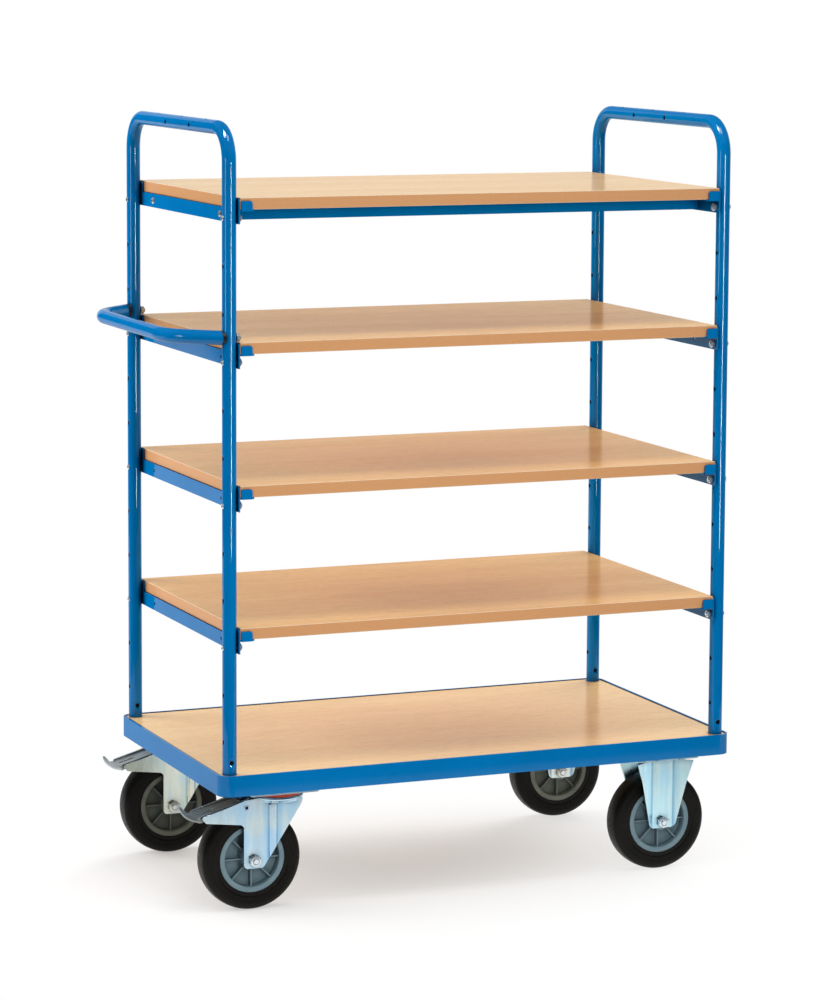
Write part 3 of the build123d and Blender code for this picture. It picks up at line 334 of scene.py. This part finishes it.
def nut(across, height, bore, washer=0.0):
    """Chamfered nut on z = 0: up the bore, out over the crown, down each flat and back under it."""
    angle = around(48)
    flat = hexagon(across, angle)
    crown = 0.47 * across
    drop = (flat - crown) * math.tan(math.radians(30))
    chamfer, brim, brim_edge = 0.0006, 0.0016, 0.0010
    rows = [(bore, 0.0), (bore, height - chamfer), (bore + chamfer, height), (crown, height),
            (flat, height - drop)]
    if washer:
        rows += [(flat, brim), (washer - chamfer, brim), (washer, brim_edge), (washer, 0.0)]
    else:
        rows += [(flat, drop), (crown, 0.0)]
    return spun(rows, angle)


def button_bolt(head, rise, shank, length):
    """Button head with a hexagon socket below its seat at z = 0, and a grooved shank rising to its tip."""
    angle = around(30)
    socket = hexagon(0.36 * head, angle)
    dome = np.linspace(0.0, np.pi / 2, 7)
    outer = [(0.30 * head + 0.20 * head * np.sin(t), -rise * np.cos(t)) for t in dome]
    turns = np.arange(rise, length - 0.0012, 0.0006)
    thread = [(shank - 0.0004 * (k % 2), z) for k, z in enumerate(turns)]
    return spun([(0.0, -0.35 * rise), (socket, -0.35 * rise), (socket, -rise), *outer, (shank, 0.0), *thread,
                 (shank - 0.0009, length), (0.0, length)], angle)


nut_faces = np.array(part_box("rail_nuts"))
bolt_heads = np.array(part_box("rail_bolts"))
tube_radius, bolt_drop, tip_past_seat = 0.0135, 0.016, 0.0085
post_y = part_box("left_end_frame")[1][1] - tube_radius
bolt_heights = [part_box(name)[0][2] - bolt_drop for name in board_names]
rail_points = [(side, turn * post_y, z) for side in (0, 1) for turn in (-1, 1) for z in bolt_heights]
inward = (np.array((1.0, 0.0, 0.0)), np.array((-1.0, 0.0, 0.0)))
head_rise = 0.0022
rail_length = nut_faces[0][0] + tip_past_seat - bolt_heads[0][0] - head_rise
rail_nut, rail_bolt = nut(0.013, 0.0065, 0.00406), button_bolt(0.011, head_rise, 0.004, rail_length)
rail_nuts = skin("rail_nuts_turned",
                 [facing(rail_nut, (nut_faces[s][0], y, z), inward[s]) for s, y, z in rail_points],
                 True, bolt_zinc)
rail_bolts = skin("rail_bolts_turned",
                  [facing(rail_bolt, (bolt_heads[s][0] + head_rise * inward[s][0], y, z), inward[s])
                   for s, y, z in rail_points], False, bolt_zinc)


def stands_for(piece, body, slot, *replaced):
    """Puts a piece on its body and lets it stand for CAD nodes, which it hides. The slot is not used."""
    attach(piece, body)
    if replaced:
        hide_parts(*replaced)


stands_for(rail_nuts, "chassis", "zinc", "rail_nuts")
stands_for(rail_bolts, "chassis", "zinc", "rail_bolts")

# Stiffening bars: folded steel angles along the underside of the top shelf, enamelled, with end
# tabs held to the rails by small zinc-plated bolts and nuts.
bar_enamel = blue_enamel("blue_enamel_bar", 0.3, 0.45, 0.045, 0.05, 0.025)
coat(["stiffening_bar_front", "stiffening_bar_back"], bar_enamel)
bar_heads, bar_ends = np.array(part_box("stiffening_bar_bolts")), np.array(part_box("stiffening_bar_nuts"))
bar_nut_width, bar_rise, bar_tip_past_seat = 0.010, 0.0035, 0.007
bar_y = bar_ends[1][1] - 0.577 * bar_nut_width
bar_z = (bar_heads[0][2] + bar_heads[1][2]) / 2
bar_points = [(side, turn * bar_y) for side in (0, 1) for turn in (-1, 1)]
bar_length = bar_ends[0][0] + bar_tip_past_seat - bar_heads[0][0] - bar_rise
bar_bolt = button_bolt(0.0135, bar_rise, 0.003, bar_length)
bar_nut = nut(bar_nut_width, 0.005, 0.00306)
bar_bolts = skin("stiffening_bar_bolts_turned",
                 [facing(bar_bolt, (bar_heads[s][0] + bar_rise * inward[s][0], y, bar_z), inward[s])
                  for s, y in bar_points], False, bolt_zinc)
bar_nuts = skin("stiffening_bar_nuts_turned",
                [facing(bar_nut, (bar_ends[s][0], y, bar_z), inward[s]) for s, y in bar_points],
                True, bolt_zinc)
stands_for(bar_bolts, "chassis", "zinc", "stiffening_bar_bolts")
stands_for(bar_nuts, "chassis", "zinc", "stiffening_bar_nuts")

# Push handle: a bent tube in the same enamel, its slanting ends closed by plates with studs that
# pass through moulded black saddles and the posts to flange nuts on the far side.
coat(["push_handle"], tube_enamel)
moulded = finish("black_moulding", Specular_IOR_Level=0.4)
grit = cloud(moulded, 700.0)
saddle_black = tones(moulded, cloud(moulded, 80.0), (0.3, (0.008, 0.008, 0.009)),
                     (0.7, (0.017, 0.017, 0.019)))
feed(moulded, saddle_black, "Base Color")
feed(moulded, scaled(moulded, grit, 0.38, 0.52), "Roughness")
feed(moulded, shade(moulded, "Bump", Strength=0.15, Distance=0.0002, Height=grit).outputs["Normal"], "Normal")
coat(["handle_saddles"], moulded)
coat(["handle_studs"], zinc)
flange_seats = np.array(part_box("handle_nuts"))
handle_height = (flange_seats[0][2] + flange_seats[1][2]) / 2
flange_nut = nut(0.013, 0.007, 0.00406, 0.00825)
flange_points = [(flange_seats[0][0], turn * post_y, handle_height) for turn in (-1, 1)]
flange_nuts = skin("handle_nuts_turned", [facing(flange_nut, point, (1, 0, 0)) for point in flange_points],
                   True, bolt_zinc)
stands_for(flange_nuts, "chassis", "zinc", "handle_nuts")

# Castor plates: pressed steel top plates with their countersunk bolts and nuts, kingpins and
# bearing balls, all zinc-plated.
coat(["castor_bolts", "castor_nuts", "swivel_plates", "kingpins", "swivel_balls"], zinc)

# Dust seals: rings of soft red plastic, moulded with a rounded lip and pressed round the swivel
# bearing between its plate and the fork.
seal_red = finish("seal_red", Specular_IOR_Level=0.4)
red_tone = tones(seal_red, cloud(seal_red, 60.0), (0.3, (0.42, 0.035, 0.018)), (0.7, (0.58, 0.07, 0.03)))
feed(seal_red, red_tone, "Base Color")
feed(seal_red, scaled(seal_red, cloud(seal_red, 500.0), 0.32, 0.45), "Roughness")
rows_y = {"front": -0.24, "back": 0.24}
seal_box = np.array(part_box("swivel_seals"))
swivel_x = (seal_box[0][0] + seal_box[1][0]) / 2
loop = around(28)
seal_middle = (seal_box[0][2] + seal_box[1][2]) / 2
seal_mid_radius, seal_half_width, seal_half_height = 0.049, 0.003, 0.0035
seal_radius = seal_mid_radius + seal_half_width * np.sign(np.cos(loop)) * np.abs(np.cos(loop)) ** 0.5
seal_height = seal_middle + seal_half_height * np.sign(np.sin(loop)) * np.abs(np.sin(loop)) ** 0.5
seal_ring = spun(list(zip(seal_radius, seal_height)), around(96))
seals = skin("dust_seals", [seal_ring + (swivel_x, y, 0.0) for y in rows_y.values()], True, seal_red)
stands_for(seals, "chassis", "seal", "swivel_seals")

# Swivel forks: pressed and welded sheet, zinc-plated, with a beaded leg each side, a dished crown
# under the bearing and horns that carry the hollow pins of the brake.
leg_face, crown_top, trail = 0.034, seal_box[0][2] - 0.0003, 0.055
bead_out, bead_half, bead_proud, bead_sunk = 0.037, 0.0075, 0.0024, 0.0004
bead_x = swivel_x - trail + bead_out
fork_zinc = zinc_plate("fork_zinc", (0.60, 0.82, 0.96), (0.91, 0.93, 0.77), folds=(bead_x, 0.0072))
coat([f"swivel_fork_{row}" for row in rows_y], fork_zinc)
coat([f"brake_pins_{row}" for row in rows_y], zinc)


def pressed_bead(foot, head, slant, columns=40, rows=26):
    """Round-backed ridge up +Z on the plane y = 0, closed below it: across, its height is a flattened arc.

    Its head is a half circle and its foot follows the slanting edge of the leg, z = foot + slant * x.
    """
    turn = around(columns)
    across, over = np.cos(turn)[None, :], (np.sin(turn) > 1e-9)[None, :]
    along = np.concatenate([[0.0], np.linspace(0.0, 1.0, rows) ** 0.8])[:, None]
    top = head - bead_half
    past_top = np.clip((foot + along * (head - foot)) - top, 0.0, bead_half) / bead_half
    x = across * bead_half * np.sqrt(np.clip(1.0 - past_top ** 2, 0.0, 1.0))
    z = foot + slant * x * (1.0 - along) + along * (head - foot)
    far = np.hypot(x, np.clip(z - top, 0.0, None)) / bead_half
    height = np.where(over, bead_proud * np.sqrt(np.clip(1.0 - far ** 4, 0.0, 1.0)), -bead_sunk)
    height[0] = -bead_sunk
    height[-1] = -bead_sunk
    return np.stack([x, -height, z], axis=-1)


crown_radius, shoulder_drop, shoulder_past = 0.051, 0.017, 0.003
heel_out, heel_height, foot_gap, head_gap = 0.018, 0.0845, 0.0012, 0.007
leg_run = trail + math.sqrt(crown_radius ** 2 - leg_face ** 2) + shoulder_past - heel_out
leg_slant = (crown_top - shoulder_drop - heel_height) / leg_run
bead_foot = heel_height + leg_slant * (bead_out - heel_out) + foot_gap
bead_grid = pressed_bead(bead_foot, crown_top - head_gap, leg_slant)
lip_radius, lip_half_width, lip_drop, lip_half_height = 0.0511, 0.0022, 0.0034, 0.0030
lip_turn = around(20)
lip_rows = zip(lip_radius + lip_half_width * np.cos(lip_turn),
               crown_top - lip_drop + lip_half_height * np.sin(lip_turn))
lip = spun(list(lip_rows), around(96))
for row, y in rows_y.items():
    front = bead_grid + (bead_x, y - leg_face, 0.0)
    rear = bead_grid[:, ::-1] * (1.0, -1.0, 1.0) + (bead_x, y + leg_face, 0.0)
    stands_for(skin(f"pressed_beads_{row}", [front, rear], False, zinc), f"swivel_{row}", "zinc")
    stands_for(skin(f"crown_lip_{row}", lip + (swivel_x, y, 0.0), True, zinc), f"swivel_{row}", "zinc")

# Brake pedals: a pressed steel channel with a slot, a wide bowed treadle and a shoe over the tyre.
# Zinc-plated and worn dull, it swings on the hollow pins of the fork. Painted shade makes the front pedals
# darker than the back ones.
# Painted shade: the front pedals take the dark tone, the back pedals the light one.
pedal_zinc = zinc_plate("pedal_zinc", (0.24, 0.25, 0.22), (0.56, 0.62, 0.62), (0.30, 0.42), rub_and_glint=0.0016,
                        metal=0.6)
coat([f"brake_pedal_{row}" for row in rows_y], pedal_zinc)

# Fixed forks: a plate and two flared legs pressed from sheet steel, welded and zinc-plated, and
# bolted under the base frame.
fixed_box = np.array(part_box("fixed_axle_nuts"))
fixed_x = (fixed_box[0][0] + fixed_box[1][0]) / 2
pale_zinc = zinc_plate("pale_zinc", (0.64, 0.93, 1.0), (0.86, 0.90, 0.82), folds=(fixed_x, 0.023))
coat([f"fixed_fork_{row}" for row in rows_y], pale_zinc)


# Axles: zinc-plated hexagon bolts through both legs of each fork, with a steel sleeve between the
# legs and a hexagon nut on the front.
def hex_bolt(across, rise, shank, length):
    """Chamfered hexagon head below its seat at z = 0, plain shank, grooved end and a small point."""
    angle = around(48)
    flat = hexagon(across, angle)
    crown = 0.47 * across
    drop = (flat - crown) * math.tan(math.radians(30))
    turns = np.arange(length - 0.016, length - 0.0014, 0.0007)
    thread = [(shank - 0.0005 * (k % 2), z) for k, z in enumerate(turns)]
    return spun([(0.0, -rise), (crown, -rise), (flat, drop - rise), (flat, 0.0), (shank, 0.0), *thread,
                 (shank - 0.0012, length), (0.0, length)], angle)


axle_width, axle_head, axle_height, forward = 0.020, 0.0075, 0.1, (0, -1, 0)
axle_nut = nut(axle_width, 0.010, 0.00606)
for row in rows_y:
    bolt_box, nut_box = np.array(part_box(f"axle_bolt_{row}")), np.array(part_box(f"axle_nut_{row}"))
    axle_x = (nut_box[0][0] + nut_box[1][0]) / 2
    seat_back, seat_front, tip = bolt_box[1][1] - axle_head, nut_box[1][1], bolt_box[0][1]
    bolt = hex_bolt(axle_width, axle_head, 0.006, seat_back - tip)
    bolt_grid = facing(bolt, (axle_x, seat_back, axle_height), forward)
    nut_grid = facing(axle_nut, (axle_x, seat_front, axle_height), forward)
    stands_for(skin(f"axle_bolt_{row}_turned", bolt_grid, False, bolt_zinc),
               f"swivel_{row}", "zinc", f"axle_bolt_{row}")
    stands_for(skin(f"axle_nut_{row}_turned", nut_grid, True, bolt_zinc),
               f"swivel_{row}", "zinc", f"axle_nut_{row}")
fixed_bolts = [facing(bolt, (fixed_x, y + leg_face, axle_height), forward) for y in rows_y.values()]
fixed_nuts = [facing(axle_nut, (fixed_x, y - leg_face, axle_height), forward) for y in rows_y.values()]
stands_for(skin("fixed_axle_bolts_turned", fixed_bolts, False, bolt_zinc),
           "chassis", "zinc", "fixed_axle_bolts")
stands_for(skin("fixed_axle_nuts_turned", fixed_nuts, True, bolt_zinc),
           "chassis", "zinc", "fixed_axle_nuts")
coat([f"axle_sleeve_{row}" for row in rows_y] + ["fixed_axle_sleeves"], zinc)

# Rims: grey moulded plastic, with a broad lip, a thin web, ribs on both sides and a hub that turns on the
# sleeve. A painted light tint makes the front wheels bluer and the back ones warmer.
grey = finish("grey_moulding", Specular_IOR_Level=0.4)
plastic = tones(grey, cloud(grey, 40.0), (0.3, (0.18, 0.28, 0.33)), (0.7, (0.225, 0.335, 0.38)))
# Painted light: a warmer grey on the back wheels and a bluer one on the front, for the light on each.
rear_light_tint = tones(grey, cloud(grey, 40.0), (0.3, (0.205, 0.228, 0.190)), (0.7, (0.258, 0.284, 0.238)))
depth = shade(grey, "SeparateXYZ", Vector=shade(grey, "TexCoord").outputs["Object"]).outputs["Y"]
plastic = laid_over(grey, scaled(grey, depth, 0.0, 1.0, -0.1, 0.1), plastic, rear_light_tint)
# Painted shade: darker in the web between the ribs, hub and lip.
rim_shade = shade(grey, "AmbientOcclusion", {"samples": 6}, Distance=0.03).outputs["AO"]
hollow = tones(grey, rim_shade, (0.15, (0.22, 0.23, 0.24)), (0.8, (1.0, 1.0, 1.0)))
plastic = laid_over(grey, 1.0, plastic, hollow, "MULTIPLY")
# Painted highlight: the rib tops and lip edges are made paler.
feed(grey, laid_over(grey, edges_of(grey, 0.0014), plastic, (0.36, 0.46, 0.50, 1.0)), "Base Color")
feed(grey, scaled(grey, cloud(grey, 300.0), 0.36, 0.5), "Roughness")
feed(grey, shade(grey, "Bevel", {"samples": 4}, Radius=0.0012).outputs["Normal"], "Normal")
rim_side = np.array([(8.64, 28.9), (9.3, 29.5), (17.2, 29.5), (17.9, 29.2), (18.3, 28.3), (19.4, 18.0),
                     (19.75, 15.0), (20.8, 4.4), (21.3, 3.3), (22.4, 3.0), (29.0, 3.0), (36.0, 3.0),
                     (43.0, 3.0), (50.0, 3.0), (52.6, 3.0), (53.5, 3.7), (54.7, 15.0), (55.2, 19.9),
                     (55.7, 20.7), (56.5, 21.0), (64.3, 21.0), (65.0, 20.7), (65.3, 20.0)]) / 1000
rib_across = np.array([0.0, 0.9, 1.3, 1.5, 1.75, 2.6]) / 1000
rib_rise = np.array([1.0, 1.0, 0.97, 0.90, 0.05, 0.0])


def rim_grid(side, across, rise, ribs, rib_top, web):
    """One wheel rim about +Z: a turned side profile (radius, height) and its mirror image, with ribs.

    Columns near a rib keep a fixed distance from its middle, so their angle is the arcsine of that distance
    over the radius, and the rest share out the angle up to the next rib. Height is the larger of the profile
    and the rib, whose section is given across its width.
    """
    radius = side[:, :1]
    half = np.arcsin(np.clip(across / radius, 0.0, 0.99))
    shares = np.linspace(0.0, 1.0, 10)[1:-1]
    open_part = half[:, -1:] + (2 * np.pi / ribs - 2 * half[:, -1:]) * shares
    sector = np.concatenate([-half[:, :0:-1], half, open_part], axis=1)
    over = np.concatenate([rise[:0:-1], rise, np.zeros(len(shares))])
    angle = (sector[:, None, :] + around(ribs)[:, None]).reshape(len(side), -1)
    height = np.maximum(side[:, 1:], web + (rib_top - web) * np.tile(over, ribs))
    height = np.where(side[:, 1:] > rib_top, side[:, 1:], height)
    half_skin = np.stack([radius * np.cos(angle), radius * np.sin(angle), height], axis=-1)
    return np.concatenate([half_skin, half_skin[::-1] * (1.0, 1.0, -1.0)])


rim_skin = rim_grid(rim_side, rib_across, rib_rise, 8, 0.015, 0.003)
for row in rows_y:
    for end in ("left", "right"):
        lo, hi = np.array(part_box(f"rim_{row}_{end}"))
        turned = facing(rim_skin, (lo + hi) / 2, (0, 1, 0))
        moulding = skin(f"moulded_rim_{row}_{end}", turned, True, grey, 40.0)
        stands_for(moulding, f"wheel_{row}_{end}", "rim", f"rim_{row}_{end}")

# Tyres: solid black rubber with a rounded tread and full shoulders, moulded with fine rings on the
# side and stretched over the lip of the rim.
rubber = finish("black_rubber", Specular_IOR_Level=0.20)
soot = tones(rubber, cloud(rubber, 30.0), (0.3, (0.0026, 0.0023, 0.0018)), (0.7, (0.0060, 0.0050, 0.0036)))
feed(rubber, soot, "Base Color")
feed(rubber, scaled(rubber, cloud(rubber, 160.0), 0.36, 0.52), "Roughness")
grain = shade(rubber, "Bump", Strength=0.12, Distance=0.0003, Height=cloud(rubber, 500.0)).outputs["Normal"]
feed(rubber, grain, "Normal")
outer_radius, tread_crown, shoulder_radius, shoulder_height = 0.1, 0.0009, 0.0870, 0.0130
groove_radius, groove_deep, groove_half = 0.0735, 0.0009, 0.0008
ring_start, ring_pitch, ring_rise = 0.0760, 0.0028, 0.00035
bead_height, flank_height = 0.0216, 0.0226
bead = np.linspace(0.0655, groove_radius, 9)
flank = np.linspace(0.0740, shoulder_radius, 66)
rise = np.linspace(0.0, np.pi / 2, 18)
ringed = (flank > 0.0758) * (flank < 0.0866)
rings = ring_rise * np.clip(np.sin((flank - ring_start) / ring_pitch * 2 * np.pi), -0.2, 1.0) * ringed
groove = groove_deep * np.exp(-((flank - groove_radius) / groove_half) ** 2)
side_r = np.concatenate([bead, flank, shoulder_radius + 0.0120 * np.sin(rise)])
side_h = np.concatenate([np.full(len(bead), bead_height), flank_height - groove + rings,
                         shoulder_height + 0.0096 * np.cos(rise)])
tread_h = np.linspace(shoulder_height, -shoulder_height, 15)[1:-1]
tread_r = outer_radius - tread_crown * (tread_h / shoulder_height) ** 2
tyre_profile = np.concatenate([np.stack([side_r, side_h], 1), np.stack([tread_r, tread_h], 1),
                               np.stack([side_r[::-1], -side_h[::-1]], 1)])
tyre_ring = spun([tuple(pair) for pair in tyre_profile], around(112))
for row in rows_y:
    for end in ("left", "right"):
        lo, hi = np.array(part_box(f"tyre_{row}_{end}"))
        turned = facing(tyre_ring, (lo + hi) / 2, (0, 1, 0))
        tyre = skin(f"rubber_{row}_{end}", turned, True, rubber, 50.0)
        stands_for(tyre, f"wheel_{row}_{end}", "tyre", f"tyre_{row}_{end}")


# Studio: a white paper sweep for a floor, soft lamps on the left, overhead, in front and behind, and
# three highlight lamps that only the tubes mirror, to draw their streaks. A dark room of felt round
# the front, seen by gloss alone, keeps the enamel deep.
span = 40.0
floor_corners = [(-span, -span, 0), (span, -span, 0), (span, span, 0), (-span, span, 0)]
floor_mesh = bpy.data.meshes.new("studio_floor")
floor_mesh.from_pydata(floor_corners, [], [(0, 1, 2, 3)])
floor = bpy.data.objects.new("studio_floor", floor_mesh)
bpy.context.scene.collection.objects.link(floor)
sweep = bpy.data.materials.new("white_sweep")
sweep.use_nodes = True
sweep.node_tree.nodes.remove(sweep.node_tree.nodes["Principled BSDF"])


def seen(owner):
    """1 for camera, glossy and transmission rays, 0 for the rest."""
    path, larger = shade(owner, "LightPath").outputs, {"operation": "MAXIMUM"}
    glossy = shade(owner, "Math", larger, _0=path["Is Camera Ray"], _1=path["Is Glossy Ray"]).outputs[0]
    return shade(owner, "Math", larger, _0=glossy, _1=path["Is Transmission Ray"]).outputs[0]


paper = shade(sweep, "BsdfDiffuse", Color=(0.40, 0.385, 0.375, 1.0)).outputs[0]
# Painted shadow: the paper is darkened under and near the trolley, as ambient occlusion finds it.
under = shade(sweep, "AmbientOcclusion", {"samples": 8}, Distance=0.7).outputs["AO"]
painted_floor_shadow = tones(sweep, under, (0.25, (0.64, 0.62, 0.605)), (0.95, (1.0, 1.0, 1.0)))
lift = shade(sweep, "Emission", Color=painted_floor_shadow, Strength=0.68).outputs[0]
near = shade(sweep, "AddShader", _0=paper, _1=lift).outputs[0]
far = shade(sweep, "Emission", Color=(1.0, 1.0, 1.0, 1.0), Strength=1.0).outputs[0]
place = shade(sweep, "TexCoord").outputs["Object"]
pool = {"Location": (0.22, -0.07, 0.0), "Scale": (0.75, 1.45, 1.0)}
spot = shade(sweep, "Mapping", Vector=place, **pool).outputs["Vector"]
reach = shade(sweep, "VectorMath", {"operation": "LENGTH"}, _0=spot).outputs["Value"]
fade = shade(sweep, "MapRange", {"interpolation_type": "SMOOTHSTEP"}, Value=reach, From_Min=0.25,
             From_Max=1.05).outputs["Result"]
shown = shade(sweep, "MixShader", Fac=fade, _1=near, _2=far).outputs[0]
chosen = shade(sweep, "MixShader", Fac=seen(sweep), _1=paper, _2=shown).outputs[0]
sweep.node_tree.links.new(chosen, sweep.node_tree.nodes["Material Output"].inputs["Surface"])
floor_mesh.materials.append(sweep)

world = bpy.data.worlds.new("studio")
world.use_nodes = True
bpy.context.scene.world = world
toward = shade(world, "TexCoord").outputs["Generated"]
upward = shade(world, "SeparateXYZ", Vector=toward).outputs["Z"]
backdrop = scaled(world, upward, 1.0, 0.15, 0.22, 0.45)
level = shade(world, "MapRange", Value=seen(world), To_Min=0.46, To_Max=backdrop).outputs["Result"]
sky = world.node_tree.nodes["Background"]
sky.inputs["Color"].default_value = (1.0, 1.0, 1.0, 1.0)
world.node_tree.links.new(level, sky.inputs["Strength"])


def softbox(name, place, aim, size, power, mirrored=True, only_on=()):
    """A rectangular lamp of size (width, height) at place, turned to aim, and whether gloss mirrors it. With
    only_on it is a highlight lamp: no more than its mirror image on those pieces."""
    lamp = bpy.data.lights.new(name, "AREA")
    lamp.shape = "RECTANGLE"
    lamp.size, lamp.size_y = size
    lamp.energy = power
    made = bpy.data.objects.new(name, lamp)
    made.location = place
    made.rotation_mode = "QUATERNION"
    made.rotation_quaternion = (Vector(aim) - Vector(place)).to_track_quat("-Z", "Y")
    made.visible_camera = False
    made.visible_glossy = mirrored
    if only_on:
        made.visible_diffuse = False
        made.light_linking.receiver_collection = bpy.data.collections.new(name)
        for piece in only_on:
            made.light_linking.receiver_collection.objects.link(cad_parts[piece])
    bpy.context.scene.collection.objects.link(made)


softbox("left_lamp", (-2.9, 1.6, 1.7), (0, 0, 0.65), (2.2, 1.8), 84, False)
softbox("top_lamp", (-0.1, -1.3, 4.2), (0, 0, 0.7), (1.4, 1.0), 46)
softbox("front_lamp", (-0.22, -2.3, 0.72), (-0.05, 0, 0.72), (0.17, 1.35), 17, False)
softbox("back_lamp", (2.5, 1.9, 1.7), (0, 0, 0.5), (2.4, 1.8), 88, False)
tubes = ("left_end_frame", "right_end_frame", "push_handle")
softbox("front_strip", (0.62, -4.3, 0.75), (0.62, 0.0, 0.75), (0.5, 1.5), 120, True, tubes)
softbox("top_strip", (-1.25, -0.45, 4.0), (-0.47, -0.26, 1.48), (1.0, 1.2), 150, True, tubes)
softbox("left_strip", (-2.9, -0.75, 1.25), (0.0, -0.2, 1.2), (0.5, 0.8), 10, True, tubes)
steps, wall_radius, wall_top = 53, 4.6, 3.4
turn = np.radians(np.linspace(-165.0, 95.0, steps))[:, None]
carpet_edge = np.minimum(1.30 / np.maximum(np.cos(turn), 0.35), 2.2)
near_edge = np.where(turn < np.radians(-105.0), wall_radius, carpet_edge)
room_r = np.concatenate([near_edge, np.full((steps, 3), wall_radius)], axis=1)
room_z = np.where(turn < np.radians(-150.0), [0.62, 0.62, 0.62, wall_top], [0.002, 0.002, 0.1, wall_top])
room_grid = np.stack([room_r * np.sin(turn), -room_r * np.cos(turn), room_z], axis=-1)
room_index = np.arange(room_z.size).reshape(room_z.shape)
room_corners = [room_index[:-1, :-1], room_index[1:, :-1], room_index[1:, 1:], room_index[:-1, 1:]]
room_faces = np.stack(room_corners, axis=-1)
room_mesh = bpy.data.meshes.new("dark_room")
room_mesh.from_pydata(room_grid.reshape(-1, 3).tolist(), [], room_faces.reshape(-1, 4).tolist())
room = bpy.data.objects.new("dark_room", room_mesh)
bpy.context.scene.collection.objects.link(room)
room.visible_camera = room.visible_diffuse = room.visible_shadow = False
felt = finish("dark_felt", Specular_IOR_Level=0.0)
feed(felt, tones(felt, cloud(felt, 3.0), (0.3, (0.02, 0.02, 0.02)), (0.7, (0.03, 0.03, 0.03))), "Base Color")
room_mesh.materials.append(felt)

# Camera: stands to the left of the front, above the top of the trolley, and looks slightly down
# through a long lens with a small upright shift.
azimuth, elevation, roll = math.radians(-22.545), math.radians(6.867), math.radians(0.306)
away = math.cos(elevation)
back = Vector((math.sin(azimuth) * away, -math.cos(azimuth) * away, math.sin(elevation)))
level_right = Vector((math.cos(azimuth), math.sin(azimuth), 0.0))
level_up = back.cross(level_right)
right = math.cos(roll) * level_right + math.sin(roll) * level_up
up = math.cos(roll) * level_up - math.sin(roll) * level_right
lens = bpy.data.cameras.new("camera")
lens.sensor_width = 36.0
lens.lens = 128.912
lens.shift_y = -0.1
lens.clip_end = 100.0
camera = bpy.data.objects.new("camera", lens)
camera.matrix_world = Matrix((right, up, back)).transposed().to_4x4()
looked_at, distance = Vector((0.01964, 0.0, 0.934553)), 7.139294
camera.location = looked_at + distance * back
bpy.context.scene.collection.objects.link(camera)
bpy.context.scene.camera = camera
bpy.context.scene.view_settings.view_transform = "Standard"
